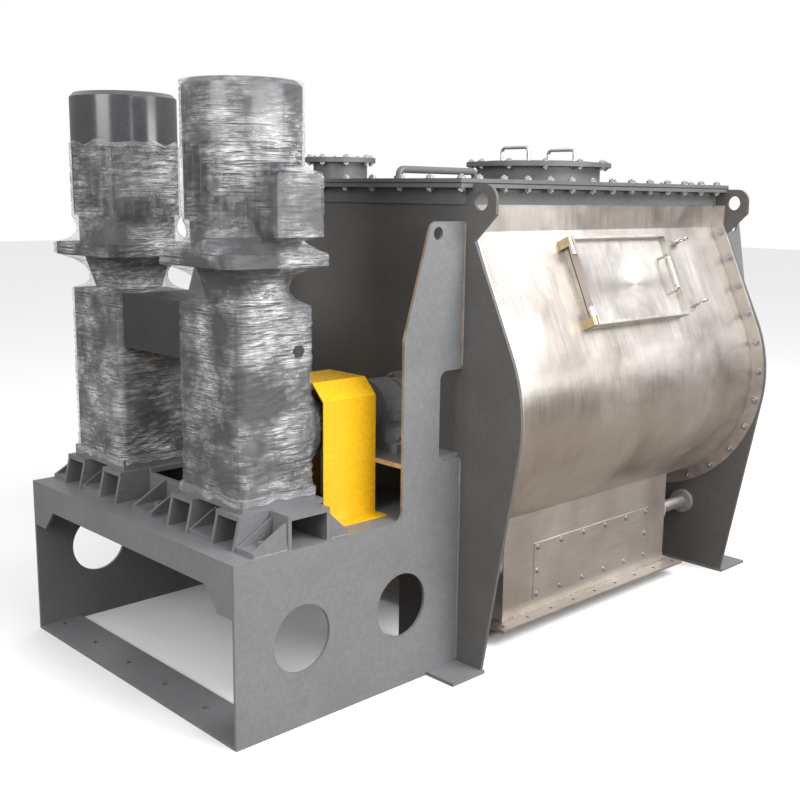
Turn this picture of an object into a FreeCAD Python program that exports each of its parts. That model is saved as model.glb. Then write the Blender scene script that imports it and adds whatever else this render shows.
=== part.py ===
import FreeCAD, Part
import math
import os
import re
import Sketcher

# Twin-shaft ribbon blender: a W-shaped trough with two lobes, hung between two end plates,
# with two vertical gearmotors on a welded drive base.  All sizes are in millimetres.
# X runs along the shafts, drive end at -X.  -Y is the side with the inspection door.
# +Z is up and the floor is Z = 0.  The origin lies under the middle of the whole machine.

SIZES = {
    # lengths along the machine
    "base_length": 898,         # drive base, up to the outer face of the drive end plate
    "trough_length": 1495,      # inside, between the two end plates
    "end_plate": 12,            # thickness of both end plates
    "tail_length": 260,         # far gussets, behind the far end plate
    # trough section
    "lobe_radius": 470,         # inside radius of each lobe
    "lobe_spacing": 333,        # each shaft from the middle plane
    "shaft_height": 850,
    "shell_wall": 6,
    "mouth_half": 580,          # inside half width of the upright part of the shell
    "slant": 24.5,              # degrees between the slanted sides and the vertical
    "mouth_height": 1582,       # underside of the lid flange
    "ring_width": 50,           # bolted ring flange around each end of the shell
    "ring_thick": 10,
    "ring_bolts": 507,          # radius of the arc of bolts
    "flange_thick": 12,         # flange round the mouth
    "flange_reach": 640,        # half width of that flange and of the lid
    "flange_upright": 52,
    "lid_overhang": 55,         # lid in front of the drive end plate
    "gasket_thick": 4,
    "lid_thick": 12,
    # end plates
    "plate_margin": 4,          # end plate outside the ring flange
    "seal_bore": 64,            # hole round each shaft
    "arch_bevel": 90,
    "leg_half": 722,            # half width at the feet
    "notch_half": 650,
    "notch_height": 1418,
    "lug_half": 736,
    "lug_low": 1500,
    "lug_round": 50,
    "lug_hole": 28,
    "lug_hole_half": 674,
    "lug_hole_height": 1540,
    "arch_half": 330,           # opening between the legs
    "arch_height": 300,
    "foot_thick": 12,
    "foot_length": 170,
    "foot_inner": 440,
    "foot_lap": 10,             # foot plate outside the leg
    "foot_ahead": 140,          # foot plate in front of the drive end plate
    "foot_gap": 0.5,
    # drive base
    "base_half": 610,
    "base_wall": 10,
    "deck_height": 551,
    "apron_low": 391,
    "apron_mid": 462,
    "apron_ledge": 72,
    "apron_slope": 62,
    "side_hole": 104,
    "side_hole_height": 274,
    "side_hole_first": 240,     # from the front of the base
    "side_hole_second": 640,
    "gusset_length": 258,       # upright part of the side panel, in front of the end plate
    "gusset_knee": 1124,
    "gusset_top": 1478,
    "gusset_tip": 150,
    "gusset_hole": 20,
    "gusset_hole_out": 120,     # its centre, from the end plate
    "gusset_hole_down": 36,
    "corner_round": 30,
    "notch_length": 100,        # clearance notch for the bearing shelf
    "notch_low": 730,
    "notch_top": 1010,
    "cross_width": 155,         # plate on the floor between the side panels
    "anchor_hole": 11,
    "anchor_pitch": 225,
    "anchor_inset": 79,
    # gearbox pedestal
    "beam_front": 198,          # cross beam, from the front of the base
    "beam_width": 155,
    "beam_wall": 12,
    "seat_height": 651,         # underside of the gearbox base plates
    "seat_thick": 15,
    "beam_gap": 140,            # half length of the open top in the middle
    "stub_width": 118,
    "stub_offset": 121,         # each stub channel from its shaft
    "stub_front": 90,
    "stub_rake": 20,
    "foot_pad": 15,
    "foot_front": 76,
    "foot_rear": 424,
    "rear_pad": 48,
    "pad_margin": 1,
    "rib_thick": 9,
    "rib_inset": 3,
    # bolts, by their flats and the height of the head
    "bolt_large": 24,
    "bolt_middle": 22,
    "bolt_small": 19,
    "bolt_least": 15,
    "head_high": 10,
    "head_low": 8,
    "head_thin": 6,
    "washer_radius": 15,
    "washer_thick": 3,
    # gearboxes and motors
    "drive_front": 118,         # front face of the gearbox, from the front of the base
    "box_length": 262,
    "box_half": 155,
    "box_base": 35,
    "box_top": 1235,
    "box_round": 22,
    "hub_radius": 118,
    "hub_length": 76,
    "hub_collar": 22,           # collar round the root of the hub
    "hub_collar_length": 18,
    "shaft_seat": 64,           # depth of the bore in the hub
    "stub_short": 4,            # coupling's stub, short of the bore's end
    "plate_lip": 6,             # base plate outside the gearbox, towards the drive end
    "plate_side": 10,
    "breather": 34,
    "breather_down": 130,
    "breather_in": 60,
    "breather_long": 24,
    "bridge_low": 1062,         # gear case that links the two gearboxes
    "neck_top": 1350,
    "neck_wide": 142,
    "neck_narrow": 106,
    "face_half": 180,
    "face_thick": 40,
    "face_round": 36,
    "shield_top": 1480,
    "shield_radius": 156,
    "core_radius": 148,
    "fin_radius": 171,
    "fin_thick": 4,
    "fin_top": 1698,
    "cowl_radius": 172,
    "cowl_wall": 3,
    "cowl_bevel": 14,
    "motor_top": 1870,
    "fan_radius": 150,
    "motor_shaft": 24,
    "shaft_bore": 24.05,
    "shaft_reach": 60,          # fan shaft inside the motor
    "fan_low": 1730,
    "fan_height": 70,
    "fan_hub": 40,
    "fan_disc": 4,
    "blade_thick": 5,
    "blade_in": 20,
    "motor_eye": 22,
    "eye_thick": 6,
    "eye_out": 28,
    "terminal_low": 1446,
    "terminal_top": 1606,
    "terminal_half": 72,
    "terminal_depth": 82,
    "terminal_round": 14,
    "terminal_lip": 5,
    "terminal_lid": 9,
    "cable_gland": 30,
    "cable_gland_long": 19,
    "sync_height": 1150,        # shaft that ties the two gear trains together
    "sync_radius": 22,
    "sync_place": 90,           # from the front face of the gearbox
    "sync_reach": 55,           # into each gearbox
    "bridge_inset": 15,
    # shafts, bearings and seals
    "shaft_radius": 45,
    "running_gap": 0.05,
    "seat_gap": 0.3,
    "bearing_front": 165,       # drive bearing, from the end plate
    "bearing_width": 90,
    "bearing_radius": 105,
    "bearing_base": 30,
    "bearing_half": 150,
    "bearing_round": 12,        # each side of the neck inside the housing
    "cheek_step": 30,
    "cheek_out": 5,
    "ear_reach": 20,
    "ear_half": 16,
    "ear_inset": 14,
    "shelf_top": 730,
    "shelf_thick": 15,
    "shelf_short": 8,           # shelf inside the front edge of the gusset
    "box_flange": 118,
    "box_tube": 98,
    "box_depth": 55,
    "box_plate": 15,
    "gland_thick": 13,
    "gland_radius": 88,
    "coupling_radius": 92,
    "coupling_hub": 66,
    "coupling_gap": 8,          # between the gearbox hub and the coupling
    "coupling_length": 170,
    "coupling_plate": 28,
    "guard_front": 433,         # coupling guard, from the front of the base
    "guard_length": 215,
    "guard_half": 140,
    "guard_bevel": 53,
    "guard_top": 988,
    "guard_sheet": 3,
    "guard_foot": 58,
    # agitators
    "ribbon_radius": 458,
    "ribbon_depth": 58,
    "ribbon_thick": 10,
    "ribbon_pitch": 740,
    "ribbon_end_gap": 14,
    "arm_radius": 16,
    "arm_hub": 66,
    "arm_hub_length": 60,
    "shaft_end": 22,            # shaft beyond the far bearing
    "shaft_bevel": 3,
    # openings in the lid
    "inlet_side": 300,
    "inlet_tube": 104,
    "inlet_flange": 136,
    "inlet_place": 260,
    "manhole_place": 1090,
    "manhole_side": 0,
    "manhole_tube": 255,
    "manhole_flange": 300,
    "port_wall": 5,
    "port_height": 76,
    "port_flange": 10,
    "port_cover": 8,
    "port_fit": 0.2,
    "cover_crown": 6,
    "crown_inset": 40,
    "inlet_bolts": 119,         # radius of each circle of bolts
    "manhole_bolts": 280,
    "handle_place": 150,        # lid handles, from the middle of the manhole
    "handle_reach": 70,
    "handle_height": 52,
    "handle_rod": 7,
    "handle_bend": 18,
    "pipe_collar": 6,
    "pipe_collar_high": 16,
    "pipe_bend": 20,
    "flange_web": 8,            # upright leg of the flange round the mouth
    "flange_bolt_in": 24,
    "lid_bolt_start": 40,
    "lid_bolt_front": 26,
    "lid_bolt_rear": 20,
    "pipe_radius": 13.5,
    "pipe_start": 290,
    "pipe_end": 700,
    "pipe_height": 1650,
    # inspection door, in the plane of the slanted side
    "door_place": 777,          # middle of the door, from the outer face of the drive end plate
    "door_rise": 232,           # middle of the door, up the slope from where the lobe begins
    "door_length": 570,
    "door_height": 320,
    "door_frame_height": 18,
    "door_frame_width": 26,
    "door_depth": 28,
    "door_sheet": 4,
    "door_rim": 10,
    "hinge_radius": 9,
    "hinge_pin": 5,
    "knuckle_length": 32,
    "hinge_out": 12,
    "hinge_sink": 5,            # hinge axis below the outer face of the door
    "hinge_gap": 0.4,
    "strap_thick": 10,
    "leaf_short": 4,
    "gasket_width": 16,
    "boss_radius": 15,
    "boss_bore": 9.6,
    "clamp_inset": 22,
    "clamp_down": 36,
    "clamp_lift": 6,
    "screw_foot": 8,
    "collar_radius": 13,
    "collar_thick": 8,
    "screw_length": 56,
    "eye_radius": 17,
    "eye_wire": 4,
    "grip_inset": 62,
    "grip_reach": 68,
    "grip_height": 46,
    "grip_rod": 5.5,
    "grip_bend": 14,
    "clamp_length": 84,
    "clamp_width": 46,
    "clamp_thick": 8,
    "screw_radius": 8,
    # discharge
    "chute_front": 270,         # discharge box, from the outer face of the drive end plate
    "chute_length": 1010,
    "chute_half": 580,
    "chute_wall": 6,
    "chute_low": 65,
    "chute_flange": 60,
    "chute_flange_thick": 10,
    "chute_hole": 7,
    "chute_hole_inset": 30,
    "flap_bearing": 20,
    "gate_length": 900,         # opening in the bottom of each lobe
    "gate_inner": 200,
    "gate_outer": 455,
    "gate_lap": 25,
    "gate_plate": 8,
    "gate_gap": 0.5,
    "pivot_half": 525,
    "pivot_height": 272,
    "pivot_radius": 25,
    "pivot_play": 6,            # hole in the wall round a flap's shaft
    "pivot_reach": 60,          # shaft inside the actuator
    "arm_thick": 12,
    "arm_foot": 20,
    "arm_drop": 18,
    "arm_tip": 10,
    "arm_depth": 26,
    "actuator_half": 45,
    "actuator_barrel": 44,
    "actuator_long": 130,
    "actuator_cap": 50,
    "actuator_cap_thick": 14,
    "actuator_cap_lap": 6,
    "cover_length": 720,
    "cover_height": 212,
    "cover_place": 795,
    "cover_middle": 215,
    "cover_thick": 4,
    "cover_lap": 36,
    "cover_lap_high": 32,
    "cover_bolt_in": 18,
    "cover_bolt_up": 16,
}

doc = FreeCAD.newDocument("blender")
sheet = doc.addObject("Spreadsheet::Sheet", "sizes")
for row, (alias, number) in enumerate(SIZES.items(), start=1):
    sheet.set(f"A{row}", alias)
    sheet.set(f"B{row}", str(number))
    sheet.setAlias(f"B{row}", alias)
doc.recompute()

nodes = []          # finished sub-parts, in the order they are made


# ---------------------------------------------------------------- working with the sheet

def named(text):
    """The expression with every size written as a cell of the sheet."""
    return re.sub(r"[a-z][a-z_]*", lambda m: "sizes." + m[0] if m[0] in SIZES else m[0], str(text))


def value(text):
    return float(sheet.evalExpression(named(text)))


def bind(thing, **sizes):
    for name, text in sizes.items():
        thing.setExpression(name, named(text))


def place(thing, x="0", y="0", z="0", turn=None):
    """Put a thing at a bound place, turned by a fixed Rotation."""
    thing.Placement = FreeCAD.Placement(FreeCAD.Vector(value(x), value(y), value(z)),
                                        turn or FreeCAD.Rotation())
    for letter, text in zip("xyz", (x, y, z)):
        thing.setExpression(f"Placement.Base.{letter}", named(text))
    return thing


def keep(thing, label):
    """Name a finished sub-part, so that it is written to its own file."""
    thing.Label = label
    nodes.append(thing)
    return thing


TURN_X = FreeCAD.Rotation(FreeCAD.Vector(0, 1, 0), 90)       # local Z becomes +X
TURN_Y = FreeCAD.Rotation(FreeCAD.Vector(1, 0, 0), -90)      # local Z becomes +Y


# ---------------------------------------------------------------- primitives and booleans

def box(corner, size, turn=None):
    thing = doc.addObject("Part::Box", "box")
    bind(thing, Length=size[0], Width=size[1], Height=size[2])
    return place(thing, *corner, turn)


def cylinder(at, radius, height, turn=None):
    thing = doc.addObject("Part::Cylinder", "cylinder")
    bind(thing, Radius=radius, Height=height)
    return place(thing, *at, turn)


def nut(at, flats, height, turn=None):
    """A hexagon, by its size across the flats."""
    thing = doc.addObject("Part::Prism", "hexagon")
    thing.Polygon = 6
    bind(thing, Circumradius=f"({flats}) / (2 * cos(30))", Height=height)
    return place(thing, *at, turn)


def bolt(x, y, z, flats):
    """An upright hexagon head on its washer."""
    return fuse(cylinder((x, y, z), "washer_radius", "washer_thick"),
                nut((x, y, f"{z} + washer_thick"), flats, "head_high"))


def cut(base, *tools):
    thing = doc.addObject("Part::Cut", "cut")
    thing.Base = base
    thing.Tool = tools[0] if len(tools) == 1 else fuse(*tools)
    return thing


def fuse(*shapes):
    thing = doc.addObject("Part::MultiFuse", "joined")
    thing.Shapes = list(shapes)
    return thing


def common(base, tool):
    thing = doc.addObject("Part::Common", "overlap")
    thing.Base, thing.Tool = base, tool
    return thing


def rod_of(radius, length):
    """A round bar along Z, ready to be placed."""
    return cylinder(("0", "0", "0"), radius, length)


def group(*shapes):
    """Separate solids that share one node."""
    thing = doc.addObject("Part::Compound", "group")
    thing.Links = list(shapes)
    return thing


# ---------------------------------------------------------------- sketches

def origin(body, role):
    return next(f for f in body.Origin.OriginFeatures if f.Role == role)


def tangent(point, centre, radius, side):
    """Where a line from the point touches the circle; side is 1 when the circle lies to its left."""
    towards = math.atan2(centre[1] - point[1], centre[0] - point[0])
    reach = math.hypot(centre[0] - point[0], centre[1] - point[1])
    heading = towards - side * math.asin(radius / reach)
    length = math.sqrt(reach ** 2 - radius ** 2)
    return (point[0] + length * math.cos(heading), point[1] + length * math.sin(heading))


def between(one, other):
    """Where the outline leaves one circle and reaches the next.

    Circles that overlap are equal and level, and meet at the lower crossing.
    Others are joined by the straight line that has both on its left."""
    apart = math.dist(one[:2], other[:2])
    if apart < one[2] + other[2]:
        low = (one[0] + apart / 2, one[1] - math.sqrt(one[2] ** 2 - apart ** 2 / 4))
        return (low, low)
    heading = math.atan2(other[1] - one[1], other[0] - one[0]) + math.asin((one[2] - other[2]) / apart)
    normal = (math.sin(heading), -math.cos(heading))
    return tuple((c[0] + c[2] * normal[0], c[1] + c[2] * normal[1]) for c in (one, other))


def outline(sketch, items):
    """A closed, counter-clockwise outline of corners (x, y) and arcs (x, y, radius).

    Lines run into arcs at a tangent, and two arcs that follow each other meet in a corner.
    Every corner, centre and radius is bound to the sheet."""
    spots = [tuple(value(text) for text in item) for item in items]
    runs = []
    for here, there in zip(spots, spots[1:] + spots[:1]):
        if len(here) == 3 and len(there) == 3:
            runs.append(between(here, there))
        elif len(there) == 3:
            runs.append((here, tangent(here, there, there[2], 1)))
        elif len(here) == 3:
            runs.append((tangent(there, here, here[2], -1), there))
        else:
            runs.append((here, there))
    arcs, lines = {}, {}
    for i, (item, spot) in enumerate(zip(items, spots)):
        start, end = runs[i - 1][1], runs[i][0]
        if len(item) == 3:
            first = math.atan2(start[1] - spot[1], start[0] - spot[0])
            last = math.atan2(end[1] - spot[1], end[0] - spot[0])
            ring = Part.Circle(FreeCAD.Vector(spot[0], spot[1], 0), FreeCAD.Vector(0, 0, 1), spot[2])
            arcs[i] = sketch.addGeometry(Part.ArcOfCircle(ring, first, last))
        if runs[i][0] != runs[i][1]:
            ends = [FreeCAD.Vector(*point, 0) for point in runs[i]]
            lines[i] = sketch.addGeometry(Part.LineSegment(*ends))
    last = len(items) - 1
    for i, item in enumerate(items):
        before = i - 1 if i else last
        if len(item) == 3:
            pin(sketch, arcs[i], 3, item[0], item[1])
            number = sketch.addConstraint(Sketcher.Constraint("Radius", arcs[i], spots[i][2]))
            sketch.setExpression(f"Constraints[{number}]", named(item[2]))
            if before in lines:
                sketch.addConstraint(Sketcher.Constraint("Tangent", lines[before], 2, arcs[i], 1))
            else:
                sketch.addConstraint(Sketcher.Constraint("Coincident", arcs[before], 2, arcs[i], 1))
            if i in lines:
                sketch.addConstraint(Sketcher.Constraint("Tangent", arcs[i], 2, lines[i], 1))
        else:
            sketch.addConstraint(Sketcher.Constraint("Coincident", lines[before], 2, lines[i], 1))
            pin(sketch, lines[i], 1, item[0], item[1])


def pin(sketch, piece, point, x, y):
    """Bind one point of the sketch to its two distances from the origin."""
    for kind, text in (("DistanceX", x), ("DistanceY", y)):
        number = sketch.addConstraint(Sketcher.Constraint(kind, piece, point, value(text)))
        sketch.setExpression(f"Constraints[{number}]", named(text))


def circle(sketch, x, y, radius):
    centre = FreeCAD.Vector(value(x), value(y), 0)
    piece = sketch.addGeometry(Part.Circle(centre, FreeCAD.Vector(0, 0, 1), value(radius)))
    pin(sketch, piece, 3, x, y)
    number = sketch.addConstraint(Sketcher.Constraint("Radius", piece, value(radius)))
    sketch.setExpression(f"Constraints[{number}]", named(radius))


def new_sketch(body, role, items=(), holes=()):
    sketch = body.newObject("Sketcher::SketchObject", "outline")
    sketch.AttachmentSupport = [(origin(body, role), "")]
    sketch.MapMode = "FlatFace"
    if items:
        outline(sketch, items)
    for hole in holes:
        circle(sketch, *hole)
    return sketch


def padded(role, items, length, holes=(), reverse=False):
    """A body made by padding an outline, with round holes left open in it."""
    body = doc.addObject("PartDesign::Body", "body")
    pad = body.newObject("PartDesign::Pad", "pad")
    pad.Profile = new_sketch(body, role, items, holes)
    pad.Reversed = reverse
    bind(pad, Length=length)
    return body


def across(items, x, thick, holes=()):
    """A plate square to X, drawn in (Y, Z)."""
    return place(padded("YZ_Plane", items, thick, holes), x=x)


def upright(items, y, thick, holes=()):
    """A plate square to Y, drawn in (X, Z), from y towards +Y."""
    return place(padded("XZ_Plane", items, thick, holes, reverse=True), y=y)


def flat(items, z, thick, holes=()):
    """A plate square to Z, drawn in (X, Y)."""
    return place(padded("XY_Plane", items, thick, holes), z=z)


def pocket(body, role, items, holes=(), depth=None, reverse=False):
    feature = body.newObject("PartDesign::Pocket", "pocket")
    feature.Profile = new_sketch(body, role, items, holes)
    feature.Reversed = reverse
    if depth is None:
        feature.Type = "ThroughAll"
        feature.Midplane = True
    else:
        bind(feature, Length=depth)
    return body


def turned(items, axis="X_Axis"):
    """A body turned about an axis: X, drawn in (X, radius), or Z, drawn in (radius, Z)."""
    body = doc.addObject("PartDesign::Body", "turned")
    feature = body.newObject("PartDesign::Revolution", "revolution")
    feature.Profile = new_sketch(body, "XZ_Plane", items)
    feature.ReferenceAxis = (origin(body, axis), [""])
    feature.Angle = 360
    return body


def rectangle(x0, y0, x1, y1):
    return [(x0, y0), (x1, y0), (x1, y1), (x0, y1)]


def mirrored(right):
    """A whole outline from its right half, listed from the bottom up."""
    left = [(f"-({item[0]})", *item[1:]) for item in reversed(right)]
    return right + left


# ---------------------------------------------------------------- places along the machine

WHOLE = "(base_length + 2 * end_plate + trough_length + tail_length)"
FRONT = f"(-{WHOLE} / 2)"
DRIVE_OUT = f"({FRONT} + base_length)"          # outer face of the drive end plate
DRIVE_IN = f"({DRIVE_OUT} + end_plate)"
FAR_IN = f"({DRIVE_IN} + trough_length)"
FAR_OUT = f"({FAR_IN} + end_plate)"
TAIL = f"({WHOLE} / 2)"
SIDES = {"front": -1, "back": 1}                # front is the side of the inspection door


def section(grow):
    """The W-shaped section of the trough, this much outside its inner face."""
    radius = f"(lobe_radius + {grow})"
    half = f"(mouth_half + {grow})"
    knee = (f"shaft_height + {radius} * sin(slant) + "
            f"(lobe_spacing + {radius} * cos(slant) - {half}) / tan(slant)")
    return [(f"-{half}", "mouth_height"), (f"-{half}", knee),
            ("-lobe_spacing", "shaft_height", radius), ("lobe_spacing", "shaft_height", radius),
            (half, knee), (half, "mouth_height")]


def lobe(side, radius, x, length):
    return cylinder((x, f"{side} * lobe_spacing", "shaft_height"), radius, length, TURN_X)


# ---------------------------------------------------------------- drive base

def drive_base():
    inner = "(base_half - base_wall)"
    deck = box((FRONT, f"-{inner}", "deck_height - base_wall"),
               ("base_length", f"2 * {inner}", "base_wall"))
    ledge = f"({inner} - apron_ledge)"
    corner = f"({inner} - apron_ledge - apron_slope)"
    below = "(deck_height - base_wall)"
    apron = across(mirrored([(inner, "apron_low"), (inner, below)]), FRONT, "base_wall")
    window = [(f"-{ledge}", "apron_low"), (ledge, "apron_low"),
              (corner, "apron_mid"), (f"-{corner}", "apron_mid")]
    pocket(apron, "YZ_Plane", window)
    keep(fuse(deck, apron), "base_deck")

    knee = f"({DRIVE_OUT} - gusset_length)"
    panel = [(FRONT, "0"), (DRIVE_OUT, "0"), (DRIVE_OUT, "notch_low - shelf_thick"),
             (f"{DRIVE_OUT} - notch_length", "notch_low - shelf_thick"),
             (f"{DRIVE_OUT} - notch_length", "notch_top"), (DRIVE_OUT, "notch_top"),
             (DRIVE_OUT, "gusset_top"), (f"{DRIVE_OUT} - gusset_tip", "gusset_top"),
             (knee, "gusset_knee"), (knee, "deck_height"), (FRONT, "deck_height")]
    holes = [(f"{FRONT} + side_hole_first", "side_hole_height", "side_hole"),
             (f"{FRONT} + side_hole_second", "side_hole_height", "side_hole"),
             (f"{DRIVE_OUT} - gusset_hole_out", "gusset_top - gusset_hole_down", "gusset_hole")]
    for name, side in SIDES.items():
        y = "-base_half" if side < 0 else "base_half - base_wall"
        body = upright(panel, y, "base_wall", holes)
        soften(body, ((f"{DRIVE_OUT} - notch_length", "notch_low - shelf_thick"),
                      (f"{DRIVE_OUT} - notch_length", "notch_top"),
                      (f"{DRIVE_OUT} - gusset_tip", "gusset_top"), (knee, "deck_height")), "corner_round")
        keep(body, "base_side_" + name)

    row = [(f"{FRONT} + anchor_inset", f"{step} * anchor_pitch", "anchor_hole")
           for step in (-2.5, -1.5, -0.5, 0.5, 1.5, 2.5)]
    strip = rectangle(FRONT, f"-{inner}", f"{FRONT} + cross_width", inner)
    keep(flat(strip, "0", "base_wall", row), "base_cross_plate")


def soften(body, corners, radius):
    """Round the edges that stand on these corners of a plate's outline."""
    doc.recompute()
    plate = body.Tip
    spots = [(value(first), value(second)) for first, second in corners]
    edges = []
    for number, edge in enumerate(plate.Shape.Edges, start=1):
        ends = [(vertex.X, vertex.Z) for vertex in edge.Vertexes]
        if len(ends) == 2 and any(all(math.dist(spot, end) < 0.01 for end in ends) for spot in spots):
            edges.append(f"Edge{number}")
    feature = body.newObject("PartDesign::Fillet", "fillet")
    feature.Base = (plate, edges)
    bind(feature, Radius=radius)


# ---------------------------------------------------------------- end plates, gussets and feet

def end_plates():
    edge = "(lobe_radius + shell_wall + ring_width + plate_margin)"
    top = "(mouth_height + flange_thick)"
    right = [("leg_half", "foot_thick"), ("lobe_spacing", "shaft_height", edge),
             ("notch_half", "notch_height"), ("lug_half", "lug_low"),
             ("lug_half - lug_round", f"{top} - lug_round", "lug_round")]
    bores = [(f"{side} * lobe_spacing", "shaft_height", "seal_bore") for side in SIDES.values()]
    lugs = [(f"{side} * lug_hole_half", "lug_hole_height", "lug_hole") for side in SIDES.values()]
    for label, x in (("drive_end_plate", DRIVE_OUT), ("far_end_plate", FAR_IN)):
        round_holes = bores + lugs
        if label == "far_end_plate":
            round_holes = round_holes + [(f"{side} * pivot_half", "pivot_height", "pivot_radius + pivot_play")
                                         for side in SIDES.values()]
        body = across(mirrored(right), x, "end_plate", round_holes)
        arch = [("arch_half", "0"), ("arch_half", "arch_height - arch_bevel"),
                ("arch_half - arch_bevel", "arch_height")]
        pocket(body, "YZ_Plane", mirrored(arch))
        keep(body, label)

    gusset = [(FAR_OUT, "foot_thick"), (f"{FAR_OUT} + foot_length", "foot_thick"),
              (TAIL, "deck_height"), (TAIL, "gusset_knee"), (f"{FAR_OUT} + gusset_tip", "gusset_top"),
              (FAR_OUT, "gusset_top"), (FAR_OUT, "notch_top"), (f"{FAR_OUT} + notch_length", "notch_top"),
              (f"{FAR_OUT} + notch_length", "notch_low - shelf_thick"),
              (FAR_OUT, "notch_low - shelf_thick")]
    hole = [(f"{FAR_OUT} + gusset_hole_out", "gusset_top - gusset_hole_down", "gusset_hole")]
    pair = [upright(gusset, y, "base_wall", hole) for y in ("-base_half", "base_half - base_wall")]
    keep(group(*pair), "far_gussets")

    shelf = ("gusset_length - shelf_short", "2 * (base_half - base_wall)", "shelf_thick")
    low = "shelf_top - shelf_thick"
    drive = box((f"{DRIVE_OUT} - gusset_length + shelf_short", "base_wall - base_half", low), shelf)
    far = box((FAR_OUT, "base_wall - base_half", low), shelf)
    keep(group(drive, far), "bearing_shelves")

    feet = []
    edge = "(leg_half + foot_lap)"
    for side in SIDES.values():
        beside = "(base_half + foot_gap)"
        feet.append(box((f"{DRIVE_OUT} - foot_ahead", f"-{edge}" if side < 0 else beside, "0"),
                        ("foot_ahead + end_plate", f"{edge} - {beside}", "foot_thick")))
        feet.append(box((FAR_IN, f"-{edge}" if side < 0 else "foot_inner", "0"),
                        ("foot_length + end_plate", f"{edge} - foot_inner", "foot_thick")))
    keep(group(*feet), "leg_foot_plates")


# ---------------------------------------------------------------- pedestal of the gearboxes

BEAM = f"({FRONT} + beam_front)"
STUBS = [f"({side} * lobe_spacing + {step} * stub_offset)" for side in (-1, 1) for step in (-1, 1)]


def pedestal():
    under = "(seat_height - seat_thick)"
    inner = "(base_half - base_wall)"
    webs = [box((x, f"-{inner}", "deck_height"), ("beam_wall", f"2 * {inner}", f"{under} - deck_height"))
            for x in (BEAM, f"{BEAM} + beam_width - beam_wall")]
    tops = [box((BEAM, y, under), ("beam_width", f"{inner} - beam_gap", "seat_thick"))
            for y in (f"-{inner}", "beam_gap")]
    stubs = []
    start = f"({FRONT} + stub_front)"
    for y in STUBS:
        side = [(f"{start} - stub_rake", "deck_height"), (BEAM, "deck_height"), (BEAM, under), (start, under)]
        stubs += [upright(side, f"{y} + {edge}", "beam_wall")
                  for edge in ("-stub_width / 2", "stub_width / 2 - beam_wall")]
        for x, length in ((start, f"{BEAM} - {start}"), (f"({BEAM} + beam_width)", "rear_pad")):
            stubs.append(box((x, f"{y} - stub_width / 2", under), (length, "stub_width", "seat_thick")))
    keep(group(*webs, *tops, *stubs), "gearbox_pedestal")

    pads, heads = [], []
    wide = "(stub_width / 2 + pad_margin)"
    gaps = [(f"-{inner} + 2 * pad_margin", f"{STUBS[0]} - {wide}"),
            (f"{STUBS[0]} + {wide}", f"{STUBS[1]} - {wide}"),
            ("-stub_width / 2", "stub_width / 2"),
            (f"{STUBS[2]} + {wide}", f"{STUBS[3]} - {wide}"),
            (f"{STUBS[3]} + {wide}", f"{inner} - 2 * pad_margin")]
    pad_top = "(deck_height + foot_pad)"
    for low, high in gaps:
        for front in (True, False):
            near = BEAM if front else f"{BEAM} + beam_width"
            out = f"{FRONT} + foot_front" if front else f"{FRONT} + foot_rear"
            x0, x1 = (f"({out})", f"({near})") if front else (f"({near})", f"({out})")
            pad = box((x0, low, "deck_height"), (f"{x1} - {x0}", f"{high} - ({low})", "foot_pad"))
            rib = [(x0, pad_top), (x1, pad_top), (x1 if front else x0, f"{under} - rib_inset")]
            ribs = [upright(rib, y, "rib_thick")
                    for y in (f"{low} + rib_inset", f"{high} - rib_inset - rib_thick")]
            pads.append(fuse(pad, *ribs))
            middle = (f"({x0} + {x1}) / 2", f"({low} + {high}) / 2")
            heads.append(bolt(*middle, pad_top, "bolt_large"))
    keep(group(*pads), "pedestal_feet")
    keep(group(*heads), "pedestal_bolts")


# ---------------------------------------------------------------- trough

DOOR_X = f"({DRIVE_OUT} + door_place)"
DOOR_Y = "(door_rise * sin(slant) - lobe_spacing - (lobe_radius + shell_wall) * cos(slant))"
DOOR_Z = "(shaft_height + (lobe_radius + shell_wall) * sin(slant) + door_rise * cos(slant))"


def on_door(thing, u="0", v="0", w="0"):
    """Lay a thing on the slanted side: u along X, v up the slope and w outwards from the shell."""
    place(thing, f"{DOOR_X} + {u}", f"{DOOR_Y} + ({v}) * sin(slant) - ({w}) * cos(slant)",
          f"{DOOR_Z} + ({v}) * cos(slant) + ({w}) * sin(slant)",
          FreeCAD.Rotation(FreeCAD.Vector(1, 0, 0), 90 - value("slant")))
    thing.setExpression("Placement.Rotation.Angle", named("90 - slant"))
    return thing


def door_box(u, v, w, length, height, depth):
    """A block on the slanted side, by its lowest corner and size."""
    return on_door(box(("0", "0", "0"), (length, height, depth)), u, v, w)


def door_ring(length, height, w, depth, width):
    """A rectangular rim on the slanted side, of this width, about the door's middle."""
    outer = door_box(f"-({length}) / 2", f"-({height}) / 2", w, length, height, depth)
    inner = door_box(f"({width}) - ({length}) / 2", f"({width}) - ({height}) / 2", f"{w} - 1",
                     f"{length} - 2 * ({width})", f"{height} - 2 * ({width})", f"{depth} + 2")
    return cut(outer, inner)


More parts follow.
